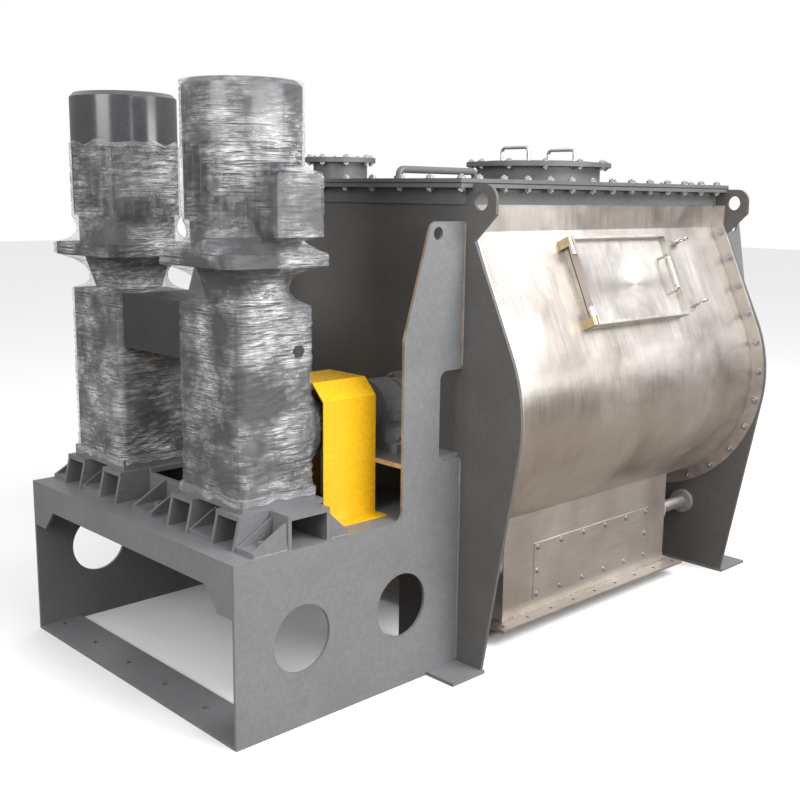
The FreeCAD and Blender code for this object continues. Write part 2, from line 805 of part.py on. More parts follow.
def trough():
    shell = across(section("shell_wall"), DRIVE_IN, "trough_length")
    pocket(shell, "YZ_Plane", section("0"))
    openings = [door_box("door_frame_width - door_length / 2", "door_frame_width - door_height / 2",
                         "-4 * shell_wall", "door_length - 2 * door_frame_width",
                         "door_height - 2 * door_frame_width", "8 * shell_wall")]
    for side in SIDES.values():
        y = "-gate_outer" if side < 0 else "gate_inner"
        openings.append(box((GATE_X, y, "shaft_height - lobe_radius - 2 * shell_wall"),
                            ("gate_length", "gate_outer - gate_inner", "lobe_radius / 4")))
    keep(cut(shell, *openings), "trough_shell")

    rings = []
    for x in (DRIVE_IN, f"({FAR_IN} - ring_thick)"):
        ring = across(section("(shell_wall + ring_width)"), x, "ring_thick")
        pocket(ring, "YZ_Plane", section("(shell_wall + seat_gap)"))
        rings.append(ring)
    trimmed = [cut(ring, box((f"{x} - 1", "-2 * mouth_half", "mouth_height - flange_upright"),
                             ("ring_thick + 2", "4 * mouth_half", "flange_upright + 1")))
               for ring, x in zip(rings, (DRIVE_IN, f"({FAR_IN} - ring_thick)"))]
    keep(group(*trimmed), "shell_flanges")

    heads = []
    angles = [16.5 - 13.5 * step for step in range(8)]          # round the lobe, down from the slant
    rises = (50, 170, 290, 400)                                 # up the slanted side
    for side in SIDES.values():
        spots = [(f"ring_bolts * cos({angle})", f"ring_bolts * sin({angle})") for angle in angles]
        spots += [(f"ring_bolts * cos(slant) - {rise} * sin(slant)",
                   f"ring_bolts * sin(slant) + {rise} * cos(slant)") for rise in rises]
        for out, up in spots:
            y, z = f"{side} * (lobe_spacing + {out})", f"shaft_height + {up}"
            heads += [nut((x, y, z), "bolt_middle", "head_high", TURN_X)
                      for x in (f"{DRIVE_IN} + ring_thick", f"{FAR_IN} - ring_thick - head_high")]
    keep(group(*heads), "shell_flange_bolts")


# ---------------------------------------------------------------- mouth, lid and ports

LID_START = f"({DRIVE_OUT} - lid_overhang)"
LID_TOP = "(mouth_height + flange_thick + gasket_thick + lid_thick)"


def mouth():
    wall = "(mouth_half + shell_wall)"
    sides = []
    for side in SIDES.values():
        leg_y = f"-{wall} - flange_web" if side < 0 else wall
        flat_y = "-flange_reach" if side < 0 else wall
        leg = box((DRIVE_IN, leg_y, "mouth_height - flange_upright"),
                  ("trough_length", "flange_web", "flange_upright"))
        top = box((DRIVE_IN, flat_y, "mouth_height"),
                  ("trough_length", f"flange_reach - {wall}", "flange_thick"))
        sides.append(fuse(leg, top))
    front = fuse(box((LID_START, "-flange_reach", "mouth_height"),
                     ("lid_overhang", "2 * flange_reach", "flange_thick")),
                 box((f"{DRIVE_OUT} - flange_web", "-base_half", "mouth_height - flange_upright"),
                     ("flange_web", "2 * base_half", "flange_upright")))
    rear = box((f"{FAR_IN} - lid_overhang", "-mouth_half", "mouth_height"),
               ("lid_overhang", "2 * mouth_half", "flange_thick"))
    keep(group(*sides, front, rear), "mouth_flange")

    seal = box((LID_START, "-flange_reach", "mouth_height + flange_thick"),
               (f"{FAR_OUT} - {LID_START}", "2 * flange_reach", "gasket_thick"))
    inside = box((DRIVE_IN, "-mouth_half", "mouth_height"),
                 ("trough_length - lid_overhang", "2 * mouth_half", "4 * flange_thick"))
    keep(cut(seal, inside), "lid_gasket")

    holes = [(*INLET, "inlet_tube"), (*MANHOLE, "manhole_tube")]
    keep(flat(rectangle(LID_START, "-flange_reach", FAR_OUT, "flange_reach"),
              f"{LID_TOP} - lid_thick", "lid_thick", holes), "lid_plate")

    along = [f"{DRIVE_IN} + lid_bolt_start + {i / 12} * (trough_length - 2 * lid_bolt_start)"
             for i in range(13)]
    ends = [f"{2 * i / 9 - 1} * (flange_reach - flange_bolt_in)" for i in range(10)]
    spots = [(x, f"{side} * (flange_reach - flange_bolt_in)") for side in SIDES.values() for x in along]
    spots += [(f"{LID_START} + lid_bolt_front", y) for y in ends]
    heads = [nut((x, y, z), "bolt_middle", "head_high")
             for x, y in spots for z in (LID_TOP, "mouth_height - head_high")]
    heads += [nut((f"{FAR_OUT} - lid_bolt_rear", y, LID_TOP), "bolt_middle", "head_high") for y in ends[1:-1]]
    keep(group(*heads), "lid_bolts")


INLET = (f"({DRIVE_OUT} + inlet_place)", "inlet_side")
MANHOLE = (f"({DRIVE_OUT} + manhole_place)", "manhole_side")


def neck(spot, tube, flange):
    """A rolled port: a tube through the lid, with a flange round its rim."""
    low, rim = f"({LID_TOP} - lid_thick)", f"({LID_TOP} + port_height)"
    body = turned([(f"{tube} - port_wall", low), (f"{tube} - port_fit", low),
                   (f"{tube} - port_fit", f"{rim} - port_flange"), (flange, f"{rim} - port_flange"),
                   (flange, rim), (f"{tube} - port_wall", rim)], "Z_Axis")
    return place(body, spot[0], spot[1])


def around(spot, radius, count, first=0):
    return [(f"{spot[0]} + {radius} * cos({first + 360 * i / count})",
             f"{spot[1]} + {radius} * sin({first + 360 * i / count})") for i in range(count)]


def ports():
    rim = f"({LID_TOP} + port_height)"
    keep(neck(INLET, "inlet_tube", "inlet_flange"), "inlet_port")
    keep(cylinder((*INLET, rim), "inlet_flange", "port_cover"), "inlet_cover")
    keep(neck(MANHOLE, "manhole_tube", "manhole_flange"), "manhole_neck")
    cover, crown = f"({rim} + port_cover)", f"({rim} + port_cover + cover_crown)"
    dish = turned([("0", rim), ("manhole_flange", rim), ("manhole_flange", cover), ("manhole_tube", cover),
                   ("manhole_tube - crown_inset", crown), ("0", crown)], "Z_Axis")
    keep(place(dish, *MANHOLE), "manhole_cover")

    handles = []
    rise, reach, bend = (value(size) for size in ("handle_height", "handle_reach", "handle_bend"))
    for step in (-1, 1):
        x, y, foot = value(f"{MANHOLE[0]} + {step} * handle_place"), value(MANHOLE[1]), value(crown)
        corners = ((-reach, 0), (-reach, rise), (reach, rise), (reach, 0))
        path = [(x, y + along, foot + up) for along, up in corners]
        handles.append(bent_rod(path, value("handle_rod"), bend))
    keep(group(*handles), "manhole_handles")

    bolts = []
    for spot, radius, count in ((INLET, "inlet_bolts", 8), (MANHOLE, "manhole_bolts", 12)):
        for x, y in around(spot, radius, count, 15):
            bolts.append(nut((x, y, cover), "bolt_small", "head_low"))
            bolts.append(nut((x, y, f"{rim} - port_flange - head_low"), "bolt_small", "head_low"))
    half_long, half_high = "(cover_length / 2 - cover_bolt_in)", "(cover_height / 2 - cover_bolt_up)"
    screws = [(f"{2 * step / 5 - 1} * {half_long}", f"{row} * {half_high}")
              for row in (-1, 1) for step in range(6)]
    screws += [(f"{end} * {half_long}", "0") for end in (-1, 1)]
    bolts += [nut((f"{COVER_X} + {x}", "-chute_half - cover_thick - head_thin", f"cover_middle + {z}"),
                  "bolt_least", "head_thin", TURN_Y) for x, z in screws]
    keep(group(*bolts), "cover_bolts")

    start, end = f"({DRIVE_OUT} + pipe_start)", f"({DRIVE_OUT} + pipe_end)"
    low, high = value(LID_TOP), value("pipe_height")
    path = [(value(start), 0, low), (value(start), 0, high), (value(end), 0, high), (value(end), 0, low)]
    collars = [cylinder((x, "0", LID_TOP), "pipe_radius + pipe_collar", "pipe_collar_high")
               for x in (start, end)]
    keep(fuse(bent_rod(path, value("pipe_radius"), value("pipe_bend")), *collars), "lid_pipe")


def bent_rod(path, radius, bend):
    """A round rod along straight runs, with a bend of this radius at each inner point."""
    points = [FreeCAD.Vector(*point) for point in path]
    edges, start = [], points[0]
    for before, corner, after in zip(points, points[1:], points[2:]):
        back, ahead = (before - corner).normalize(), (after - corner).normalize()
        half = back.getAngle(ahead) / 2
        trim = bend / math.tan(half)
        first, last = corner + back * trim, corner + ahead * trim
        inward = (back + ahead).normalize()
        middle = corner + inward * (bend / math.sin(half) - bend)
        edges += [Part.LineSegment(start, first).toShape(), Part.Arc(first, middle, last).toShape()]
        start = last
    edges.append(Part.LineSegment(start, points[-1]).toShape())
    ring = Part.Wire(Part.makeCircle(radius, points[0], points[1] - points[0]))
    thing = doc.addObject("Part::Feature", "rod")
    thing.Shape = Part.Wire(edges).makePipeShell([ring], True, False)
    return thing


# ---------------------------------------------------------------- inspection door

def door():
    frame = door_ring("door_length", "door_height", "seat_gap", "door_frame_height - seat_gap",
                      "door_frame_width")
    clamp_u = "(door_length / 2 + clamp_length - clamp_inset)"
    clamp_v = "(door_height / 2 - clamp_down)"
    bosses = []
    for side in (-1, 1):
        boss = on_door(rod_of("boss_radius", "door_frame_height"),
                       clamp_u, f"{side} * {clamp_v}", "seat_gap")
        bore = on_door(rod_of("boss_bore", "door_frame_height + 1"),
                       clamp_u, f"{side} * {clamp_v}", "seat_gap")
        bosses.append(cut(boss, bore))
    keep(group(frame, *bosses), "door_frame")
    keep(door_ring("door_length", "door_height", "door_frame_height", "gasket_thick", "gasket_width"),
         "door_gasket")

    low = "(door_frame_height + gasket_thick)"
    tray = cut(door_box("-door_length / 2", "-door_height / 2", low,
                        "door_length", "door_height", "door_depth"),
               door_box("door_rim - door_length / 2", "door_rim - door_height / 2", f"{low} + door_sheet",
                        "door_length - 2 * door_rim", "door_height - 2 * door_rim", "door_depth"))
    ears = []
    ear_low = f"({low} + clamp_lift)"
    for side in (-1, 1):
        v = f"{side} * {clamp_v}"
        plate = door_box("door_length / 2 - 1", f"{v} - clamp_width / 2", ear_low,
                         "clamp_length - clamp_inset + 1", "clamp_width", "clamp_thick")
        nose = on_door(rod_of("clamp_width / 2", "clamp_thick"), clamp_u, v, ear_low)
        hole = on_door(rod_of("screw_radius + running_gap", "2 * door_frame_height"),
                       clamp_u, v)
        ears.append(cut(fuse(plate, nose), hole))

    pivot_u = "(-door_length / 2 - hinge_out)"
    pivot_w = f"({low} + door_depth - hinge_sink)"
    knuckles, leaves = [], []
    for side in (-1, 1):
        inner = f"({side} * (door_height / 2 - 1.5 * knuckle_length - hinge_gap) - knuckle_length / 2)"
        outer = f"({side} * (door_height / 2 - knuckle_length / 2) - knuckle_length / 2)"
        knuckle = up_slope(rod_of("hinge_radius", "knuckle_length"), pivot_u, inner, pivot_w)
        strap = door_box(pivot_u, inner, f"{pivot_w} - strap_thick / 2", "hinge_out + 2", "knuckle_length",
                         "strap_thick")
        hole = up_slope(rod_of("hinge_pin + running_gap", "knuckle_length + 2"),
                        pivot_u, f"{inner} - 1", pivot_w)
        knuckles.append(cut(fuse(knuckle, strap), hole))
        fixed = up_slope(rod_of("hinge_radius", "knuckle_length"), pivot_u, outer, pivot_w)
        leaf = door_box(f"{pivot_u} - hinge_radius", outer, "seat_gap", "2 * hinge_radius - leaf_short",
                        "knuckle_length", f"{pivot_w} - seat_gap")
        rod = up_slope(rod_of("hinge_pin", "2 * knuckle_length + hinge_gap"), pivot_u,
                       inner if side > 0 else outer, pivot_w)
        leaves.append(fuse(fixed, leaf, rod))
    keep(fuse(tray, *ears, *knuckles), "door_panel")
    keep(group(*leaves), "door_hinges")

    for name, side in (("top", 1), ("bottom", -1)):
        v = f"{side} * {clamp_v}"
        stem = on_door(rod_of("screw_radius", "screw_length"), clamp_u, v, "screw_foot")
        collar = on_door(rod_of("collar_radius", "collar_thick"),
                         clamp_u, v, f"{ear_low} + clamp_thick + seat_gap")
        ring = doc.addObject("Part::Torus", "eye")
        bind(ring, Radius1="eye_radius", Radius2="eye_wire")
        up_slope(ring, clamp_u, v, "screw_foot + screw_length + eye_radius - eye_wire + 1")
        keep(fuse(stem, collar, ring), "eye_screw_" + name)

    grip_u = "(door_length / 2 - grip_inset)"
    floor = f"({low} + door_sheet)"
    rest = FreeCAD.Placement(FreeCAD.Vector(value(DOOR_X), value(DOOR_Y), value(DOOR_Z)),
                             FreeCAD.Rotation(FreeCAD.Vector(1, 0, 0), 90 - value("slant")))
    u, w, reach, rise = (value(size) for size in (grip_u, floor, "grip_reach", "grip_height"))
    path = [(u, -reach, w), (u, -reach, w + rise), (u, reach, w + rise), (u, reach, w)]
    path = [rest.multVec(FreeCAD.Vector(*spot)) for spot in path]
    keep(bent_rod(path, value("grip_rod"), value("grip_bend")), "door_handle")


def up_slope(thing, u, v, w):
    """Lay a thing on the slanted side with its own Z axis up the slope."""
    on_door(thing, u, v, w)
    thing.setExpression("Placement.Rotation.Angle", None)
    slope = FreeCAD.Rotation(FreeCAD.Vector(-1, 0, 0), value("slant"))
    thing.Placement = FreeCAD.Placement(thing.Placement.Base, slope)
    thing.setExpression("Placement.Rotation.Angle", named("slant"))
    return thing


# ---------------------------------------------------------------- discharge

CHUTE_X = f"({DRIVE_OUT} + chute_front)"
GATE_X = f"({CHUTE_X} + (chute_length - gate_length) / 2)"
COVER_X = f"({DRIVE_OUT} + cover_place)"


def discharge():
    outside = across(section("(shell_wall + seat_gap)"), f"{CHUTE_X} - chute_flange",
                     "chute_length + 2 * chute_flange")
    tall = "(shaft_height - lobe_radius / 2 - chute_low)"
    inner = "(chute_half - chute_wall)"
    walls = []
    for side in SIDES.values():
        y = "-chute_half" if side < 0 else inner
        wall = box((CHUTE_X, y, "chute_low"), ("chute_length", "chute_wall", tall))
        if side < 0:
            window = box((f"{COVER_X} - cover_length / 2 + cover_lap", f"{y} - 1",
                          "cover_middle - cover_height / 2 + cover_lap_high"),
                         ("cover_length - 2 * cover_lap", "chute_wall + 2",
                          "cover_height - 2 * cover_lap_high"))
            wall = cut(wall, window)
        walls.append(cut(wall, outside))
    for x in (CHUTE_X, f"{CHUTE_X} + chute_length - chute_wall"):
        wall = box((x, f"-{inner}", "chute_low"), ("chute_wall", f"2 * {inner}", tall))
        bores = [cylinder((f"{x} - 1", f"{side} * pivot_half", "pivot_height"), "pivot_radius + pivot_play",
                          "chute_wall + 2", TURN_X) for side in SIDES.values()]
        walls.append(cut(wall, outside, *bores))
    keep(group(*walls), "discharge_box")

    edge = "(chute_half + chute_flange)"
    start, end = f"({CHUTE_X} - chute_flange)", f"({CHUTE_X} + chute_length + chute_flange)"
    first, last = f"({start} + chute_hole_inset)", f"({end} - chute_hole_inset)"
    side_y = f"({edge} - chute_hole_inset)"
    holes = [(f"{first} + {i / 8} * ({last} - {first})", f"{side} * {side_y}", "chute_hole")
             for i in range(9) for side in SIDES.values()]
    holes += [(x, f"{2 * i / 9 - 1} * {side_y}", "chute_hole") for i in range(1, 9) for x in (first, last)]
    body = flat(rectangle(start, f"-{edge}", end, edge), "chute_low - chute_flange_thick",
                "chute_flange_thick", holes)
    pocket(body, "XY_Plane", rectangle(f"{CHUTE_X} + chute_wall", f"-{inner}",
                                       f"{CHUTE_X} + chute_length - chute_wall", inner))
    keep(body, "discharge_flange")

    keep(box((f"{COVER_X} - cover_length / 2", "-chute_half - cover_thick", "cover_middle - cover_height / 2"),
             ("cover_length", "cover_thick", "cover_height")), "access_cover")

    for name, side in SIDES.items():
        keep(flap(side), "discharge_flap_" + name)
    bearings, drives = [], []
    bore = "(pivot_radius + running_gap)"
    for side in SIDES.values():
        y, z = f"{side} * pivot_half", "pivot_height"
        for x in (f"{CHUTE_X} - flap_bearing", f"{CHUTE_X} + chute_length",
                  f"{FAR_IN} - flap_bearing", FAR_OUT):
            bearings.append(cut(cylinder((x, y, z), "2 * pivot_radius", "flap_bearing", TURN_X),
                                cylinder((f"{x} - 1", y, z), bore, "flap_bearing + 2", TURN_X)))
        x = f"({FAR_OUT} + flap_bearing)"
        middle = f"{x} + actuator_half"
        block = box((x, f"{y} - actuator_half", f"{z} - actuator_half"), ("2 * actuator_half",) * 3)
        barrel = cylinder((middle, y, f"{z} - actuator_long"), "actuator_barrel", "2 * actuator_long")
        caps = [cylinder((middle, y, f"{z} {low}"), "actuator_cap", "actuator_cap_thick")
                for low in ("- actuator_long - actuator_cap_thick + actuator_cap_lap",
                            "+ actuator_long - actuator_cap_lap")]
        socket = cylinder((f"{x} - 1", y, z), bore, "pivot_reach + actuator_cap_thick", TURN_X)
        drives.append(cut(fuse(block, barrel, *caps), socket))
    keep(group(*bearings), "flap_bearings")
    keep(group(*drives), "flap_actuators")


def flap(side):
    """A curved gate plate that closes one lobe, welded on arms to its pivot shaft."""
    inner = "(lobe_radius + shell_wall + gate_gap)"
    start, length = f"({GATE_X} - gate_lap)", "(gate_length + 2 * gate_lap)"
    ring = cut(lobe(side, f"({inner} + gate_plate)", start, length),
               lobe(side, inner, f"{start} - 1", f"{length} + 2"))
    low = "gate_inner - gate_lap" if side > 0 else "-gate_outer - gate_lap"
    slab = box((f"{start} - 1", low, "shaft_height - lobe_radius - 2 * pivot_radius"),
               (f"{length} + 2", "gate_outer - gate_inner + 2 * gate_lap", "lobe_radius / 2"))
    panel = common(ring, slab)
    seat = f"(shaft_height - {inner})"
    rib = [("pivot_half - arm_foot", "pivot_height - arm_drop"),
           ("pivot_half + arm_foot", "pivot_height - arm_drop"),
           ("gate_outer + arm_tip", seat), ("gate_inner + arm_tip", seat),
           ("gate_inner + arm_tip", f"{seat} - arm_depth")]
    if side < 0:
        rib = [(f"-({y})", z) for y, z in reversed(rib)]
    arms = []
    for share in (0.12, 0.5, 0.88):
        arm = across(rib, f"{GATE_X} + {share} * gate_length - arm_thick / 2", "arm_thick")
        arms.append(cut(arm, lobe(side, f"({inner} + 1)", start, length)))
    start = f"({CHUTE_X} - flap_bearing)"
    shaft = cylinder((start, f"{side} * pivot_half", "pivot_height"), "pivot_radius",
                     f"{FAR_OUT} + flap_bearing + pivot_reach - {start}", TURN_X)
    return fuse(panel, shaft, *arms)


# ---------------------------------------------------------------- agitators

BEARING_X = f"({DRIVE_OUT} - bearing_front)"
BOX_FACE = f"({FRONT} + drive_front + box_length)"           # face of the gearbox that the shaft leaves
HUB_END = f"({BOX_FACE} + hub_length)"
COUPLE_X = f"({HUB_END} + coupling_gap)"                     # start of the coupling
JOINT_X = f"({COUPLE_X} + coupling_length / 2)"              # where its two halves meet
FAR_BEARING_X = f"({FAR_OUT} + bearing_front - bearing_width)"


def agitators():
    half = "(coupling_length / 2)"
    for name, side in SIDES.items():
        centre = (f"{side} * lobe_spacing", "shaft_height")
        start, end = f"({JOINT_X} + seat_gap)", f"({FAR_BEARING_X} + bearing_width + shaft_end)"
        shaft = turned([(start, "0"), (end, "0"), (end, "shaft_radius - shaft_bevel"),
                        (f"{end} - shaft_bevel", "shaft_radius"), (start, "shaft_radius")])
        keep(place(shaft, "0", *centre), "agitator_shaft_" + name)

        plate = f"({JOINT_X} - coupling_plate)"
        stub = f"({HUB_END} - shaft_seat + stub_short)"
        driving = turned([(JOINT_X, "0"), (JOINT_X, "coupling_radius"), (plate, "coupling_radius"),
                          (plate, "coupling_hub"), (COUPLE_X, "coupling_hub"), (COUPLE_X, "shaft_radius"),
                          (stub, "shaft_radius"), (stub, "0")][::-1])
        bore = "(shaft_radius + running_gap)"
        driven = turned([(start, bore), (f"{start} + {half}", bore), (f"{start} + {half}", "coupling_hub"),
                         (f"{start} + coupling_plate", "coupling_hub"),
                         (f"{start} + coupling_plate", "coupling_radius"), (start, "coupling_radius")])
        keep(group(place(driving, "0", *centre), place(driven, "0", *centre)), "coupling_" + name)
        lead = FreeCAD.Rotation(FreeCAD.Vector(1, 0, 0), 90 if side > 0 else 0)
        keep(place(ribbons(side), "0", *centre, lead), "ribbon_" + name)


def ribbons(side):
    """Two helical ribbons a half turn apart, on spiders that clamp to the shaft."""
    body = doc.addObject("PartDesign::Body", "ribbon")
    start = f"({DRIVE_IN} + ribbon_end_gap)"
    height = "(trough_length - 2 * ribbon_end_gap - ribbon_thick)"
    profile = rectangle(start, "ribbon_radius - ribbon_depth", f"{start} + ribbon_thick", "ribbon_radius")
    helix = body.newObject("PartDesign::AdditiveHelix", "helix")
    helix.Profile = new_sketch(body, "XZ_Plane", profile)
    helix.ReferenceAxis = (origin(body, "X_Axis"), [""])
    helix.Mode = "pitch-height-angle"
    helix.LeftHanded = side > 0
    bind(helix, Pitch="ribbon_pitch", Height=height)
    doc.recompute()
    pattern = body.newObject("PartDesign::PolarPattern", "starts")
    pattern.Originals = [helix]
    pattern.Axis = (origin(body, "X_Axis"), [""])
    pattern.Angle = 360
    pattern.Occurrences = 2
    body.Tip = pattern

    spiders = []
    middle = f"({start} + ribbon_thick / 2)"
    for quarter in range(1, 8):
        x = f"{middle} + {quarter} * ribbon_pitch / 4"
        level = quarter % 2
        reach = "(ribbon_radius - ribbon_depth - 2 * seat_gap)"
        turn = FreeCAD.Rotation(FreeCAD.Vector(1, 0, 0), 90) if level else FreeCAD.Rotation()
        arm = cylinder((x, reach if level else "0", "0" if level else f"-{reach}"), "arm_radius",
                       f"2 * {reach}", turn)
        hub = cylinder((f"{x} - arm_hub_length / 2", "0", "0"), "arm_hub", "arm_hub_length", TURN_X)
        bore = cylinder((f"{x} - arm_hub_length", "0", "0"), "shaft_radius + running_gap",
                        "2 * arm_hub_length", TURN_X)
        spiders.append(cut(fuse(arm, hub), bore))
    return group(body, *spiders)


def bearings():
    blocks, seals = [], []
    for side in SIDES.values():
        y = f"({side} * lobe_spacing)"
        for x in (BEARING_X, FAR_BEARING_X):
            blocks.append(pillow_block(x, y))
        for far in (False, True):
            seals += stuffing_box(y, far)
    keep(group(*blocks), "pillow_blocks")
    keep(group(*seals), "stuffing_boxes")


def pillow_block(x, y):
    """A housing on a foot, with the ears of its cap."""
    ear_y = "(bearing_radius + ear_reach)"
    housing = cylinder((x, y, "shaft_height"), "bearing_radius", "bearing_width", TURN_X)
    foot = box((x, f"{y} - bearing_half", "shelf_top"), ("bearing_width", "2 * bearing_half", "bearing_base"))
    neck = box((x, f"{y} - bearing_radius + bearing_round", "shelf_top"),
               ("bearing_width", "2 * (bearing_radius - bearing_round)", "shaft_height - shelf_top"))
    ears = box((f"{x} + ear_inset", f"{y} - {ear_y}", "shaft_height - ear_half"),
               ("bearing_width - 2 * ear_inset", f"2 * {ear_y}", "2 * ear_half"))
    cheeks = cylinder((f"{x} - cheek_out", y, "shaft_height"), "bearing_radius - cheek_step",
                      "bearing_width + 2 * cheek_out", TURN_X)
    bore = cylinder((f"{x} - 2 * cheek_out", y, "shaft_height"), "shaft_radius + running_gap",
                    "bearing_width + 4 * cheek_out", TURN_X)
    return cut(fuse(housing, foot, neck, ears, cheeks), bore)


def stuffing_box(y, far):
    """The seal housing outside an end plate: flange, packing tube and gland ring."""
    bore = "(shaft_radius + running_gap)"
    step, face = (1, FAR_OUT) if far else (-1, DRIVE_OUT)

    def at(distance):
        return f"({face} + {step} * ({distance}))"

    ring_low, ring_top = at("box_depth + seat_gap"), at("box_depth + gland_thick")
    tube = [(at("0"), bore), (at("0"), "box_flange"), (at("box_plate"), "box_flange"),
            (at("box_plate"), "box_tube"), (at("box_depth"), "box_tube"), (at("box_depth"), bore)]
    ring = [(ring_low, bore), (ring_low, "gland_radius"), (ring_top, "gland_radius"), (ring_top, bore)]
    return [place(turned(profile[::step]), "0", y, "shaft_height") for profile in (tube, ring)]


# ---------------------------------------------------------------- gearboxes and motors

MOTOR_X = f"({FRONT} + drive_front + box_length / 2)"


def rounded(x0, y0, x1, y1, radius):
    """A rectangle with rounded corners."""
    left, right = f"{x0} + ({radius})", f"{x1} - ({radius})"
    low, high = f"{y0} + ({radius})", f"{y1} - ({radius})"
    return [(x, y, radius) for x, y in ((right, low), (right, high), (left, high), (left, low))]


def drives():
    front = f"({FRONT} + drive_front)"
    base_top = "(seat_height + box_base)"
    bore = "(sync_radius + running_gap)"
    plates = []
    for name, side in SIDES.items():
        y = f"({side} * lobe_spacing)"
        centre = (y, "shaft_height")
        plates.append(box((f"{front} - plate_lip", f"{y} - box_half - plate_side", "seat_height"),
                          ("box_length + plate_lip", "2 * (box_half + plate_side)", "box_base")))
        case = flat(rounded(front, f"{y} - box_half", BOX_FACE, f"{y} + box_half", "box_round"),
                    base_top, f"box_top - {base_top}")
        hub = cylinder((f"{BOX_FACE} - 1", *centre), "hub_radius", "hub_length + 1", TURN_X)
        collar = cylinder((f"{BOX_FACE} - 1", *centre), "hub_radius + hub_collar",
                          "hub_collar_length + 1", TURN_X)
        outer = f"{y} + {side} * box_half"
        plug = nut((f"{front} + box_length - breather_in", f"{outer} - breather_long / 2",
                    "box_top - breather_down"), "breather", "breather_long", TURN_Y)
        seat = cylinder((f"{HUB_END} - shaft_seat", *centre), "shaft_radius + running_gap",
                        "shaft_seat + 1", TURN_X)
        inward = f"{y} - box_half - 1" if side > 0 else f"{y} + box_half - sync_reach - plate_lip"
        sync = cylinder((f"{front} + sync_place", inward, "sync_height"), bore,
                        "sync_reach + plate_lip + 1", TURN_Y)
        case = cut(fuse(case, hub, collar, plug), seat, sync)
        adapter = turned([("0", "box_top"), ("neck_narrow", "box_top"), ("neck_wide", "neck_top"),
                          ("0", "neck_top")], "Z_Axis")
        place(adapter, MOTOR_X, y)
        face = flat(rounded(f"{MOTOR_X} - face_half", f"{y} - face_half", f"{MOTOR_X} + face_half",
                            f"{y} + face_half", "face_round"), "neck_top", "face_thick")
        keep(group(case, fuse(adapter, face)), "gearbox_" + name)
        motor(name, y)
    keep(group(*plates), "gearbox_base_plates")

    gap = "(lobe_spacing - box_half)"
    case = box((f"{front} + bridge_inset", f"-{gap}", "bridge_low"),
               ("box_length - bridge_inset", f"2 * {gap}", "box_top - bridge_low"))
    passage = cylinder((f"{front} + sync_place", f"-{gap} - 1", "sync_height"), bore, f"2 * {gap} + 2", TURN_Y)
    keep(cut(case, passage), "sync_gear_case")
    keep(cylinder((f"{front} + sync_place", f"-{gap} - sync_reach", "sync_height"), "sync_radius",
                  f"2 * ({gap} + sync_reach)", TURN_Y), "sync_shaft")


def motor(name, y):
    """A finned motor that stands on its flange."""
    base = "(neck_top + face_thick)"
    body = turned([("0", base), ("shield_radius", base), ("shield_radius", "shield_top"),
                   ("core_radius", "shield_top"), ("core_radius", "fin_top"), ("shaft_bore", "fin_top"),
                   ("shaft_bore", "fin_top - shaft_reach"), ("0", "fin_top - shaft_reach")], "Z_Axis")
    doc.recompute()
    fin = body.newObject("PartDesign::Pad", "fin")
    sketch = new_sketch(body, "XY_Plane", rectangle("core_radius - 2", "-fin_thick / 2",
                                                    "fin_radius", "fin_thick / 2"))
    sketch.setExpression("AttachmentOffset.Base.z", named("shield_top"))
    fin.Profile = sketch
    bind(fin, Length="fin_top - shield_top")
    doc.recompute()
    fins = body.newObject("PartDesign::PolarPattern", "fins")
    fins.Originals = [fin]
    fins.Axis = (origin(body, "Z_Axis"), [""])
    fins.Angle = 360
    fins.Occurrences = 32
    body.Tip = fins
    place(body, MOTOR_X, y)
    ring = doc.addObject("Part::Torus", "eye")
    bind(ring, Radius1="motor_eye", Radius2="eye_thick")
    side = SIDES[name]
    place(ring, MOTOR_X, f"{y} + {side} * (fin_radius + eye_out + seat_gap)",
          "terminal_top + motor_eye + 2 * eye_thick", TURN_X)
    keep(group(body, ring), "motor_" + name)


def motor_ends():
    cowls, boxes = [], []
    for name, side in SIDES.items():
        y = f"({side} * lobe_spacing)"
        cowls.append(place(cowl(), MOTOR_X, y))
        blades = []
        for i in range(8):
            blade = box(("0", "0", "0"), ("fan_radius - blade_in", "blade_thick", "fan_height"))
            turn = FreeCAD.Rotation(FreeCAD.Vector(0, 0, 1), 45 * i)
            blades.append(place(blade, "0", "0", "fan_low", turn))
        tail = "(fin_top - shaft_reach + 1)"
        hub = turned([("0", tail), ("motor_shaft", tail), ("motor_shaft", "fan_low"), ("fan_radius", "fan_low"),
                      ("fan_radius", "fan_low + fan_disc"), ("fan_hub", "fan_low + fan_disc"),
                      ("fan_hub", "fan_low + fan_height"), ("0", "fan_low + fan_height")], "Z_Axis")
        keep(place(fuse(hub, *blades), MOTOR_X, y), "fan_" + name)

        low = "(-fin_radius - seat_gap - terminal_depth)"
        grown = "(terminal_half + terminal_lip)"
        shell = upright(rounded("-terminal_half", "terminal_low", "terminal_half", "terminal_top",
                                "terminal_round"), low, "terminal_depth")
        lid = upright(rounded(f"-{grown}", "terminal_low - terminal_lip", grown, "terminal_top + terminal_lip",
                              "terminal_round"), f"{low} - terminal_lid", "terminal_lid")
        glands = [nut((f"{step} * cable_gland", "-fin_radius - terminal_depth / 2",
                       "terminal_low - cable_gland_long + 1"), "cable_gland", "cable_gland_long")
                  for step in (-1, 1)]
        turn = 0 if side < 0 else 135
        boxes.append(place(fuse(shell, lid, *glands), MOTOR_X, y, "0",
                           FreeCAD.Rotation(FreeCAD.Vector(0, 0, 1), turn)))
    keep(group(*cowls), "fan_cowls")
    keep(group(*boxes), "terminal_boxes")


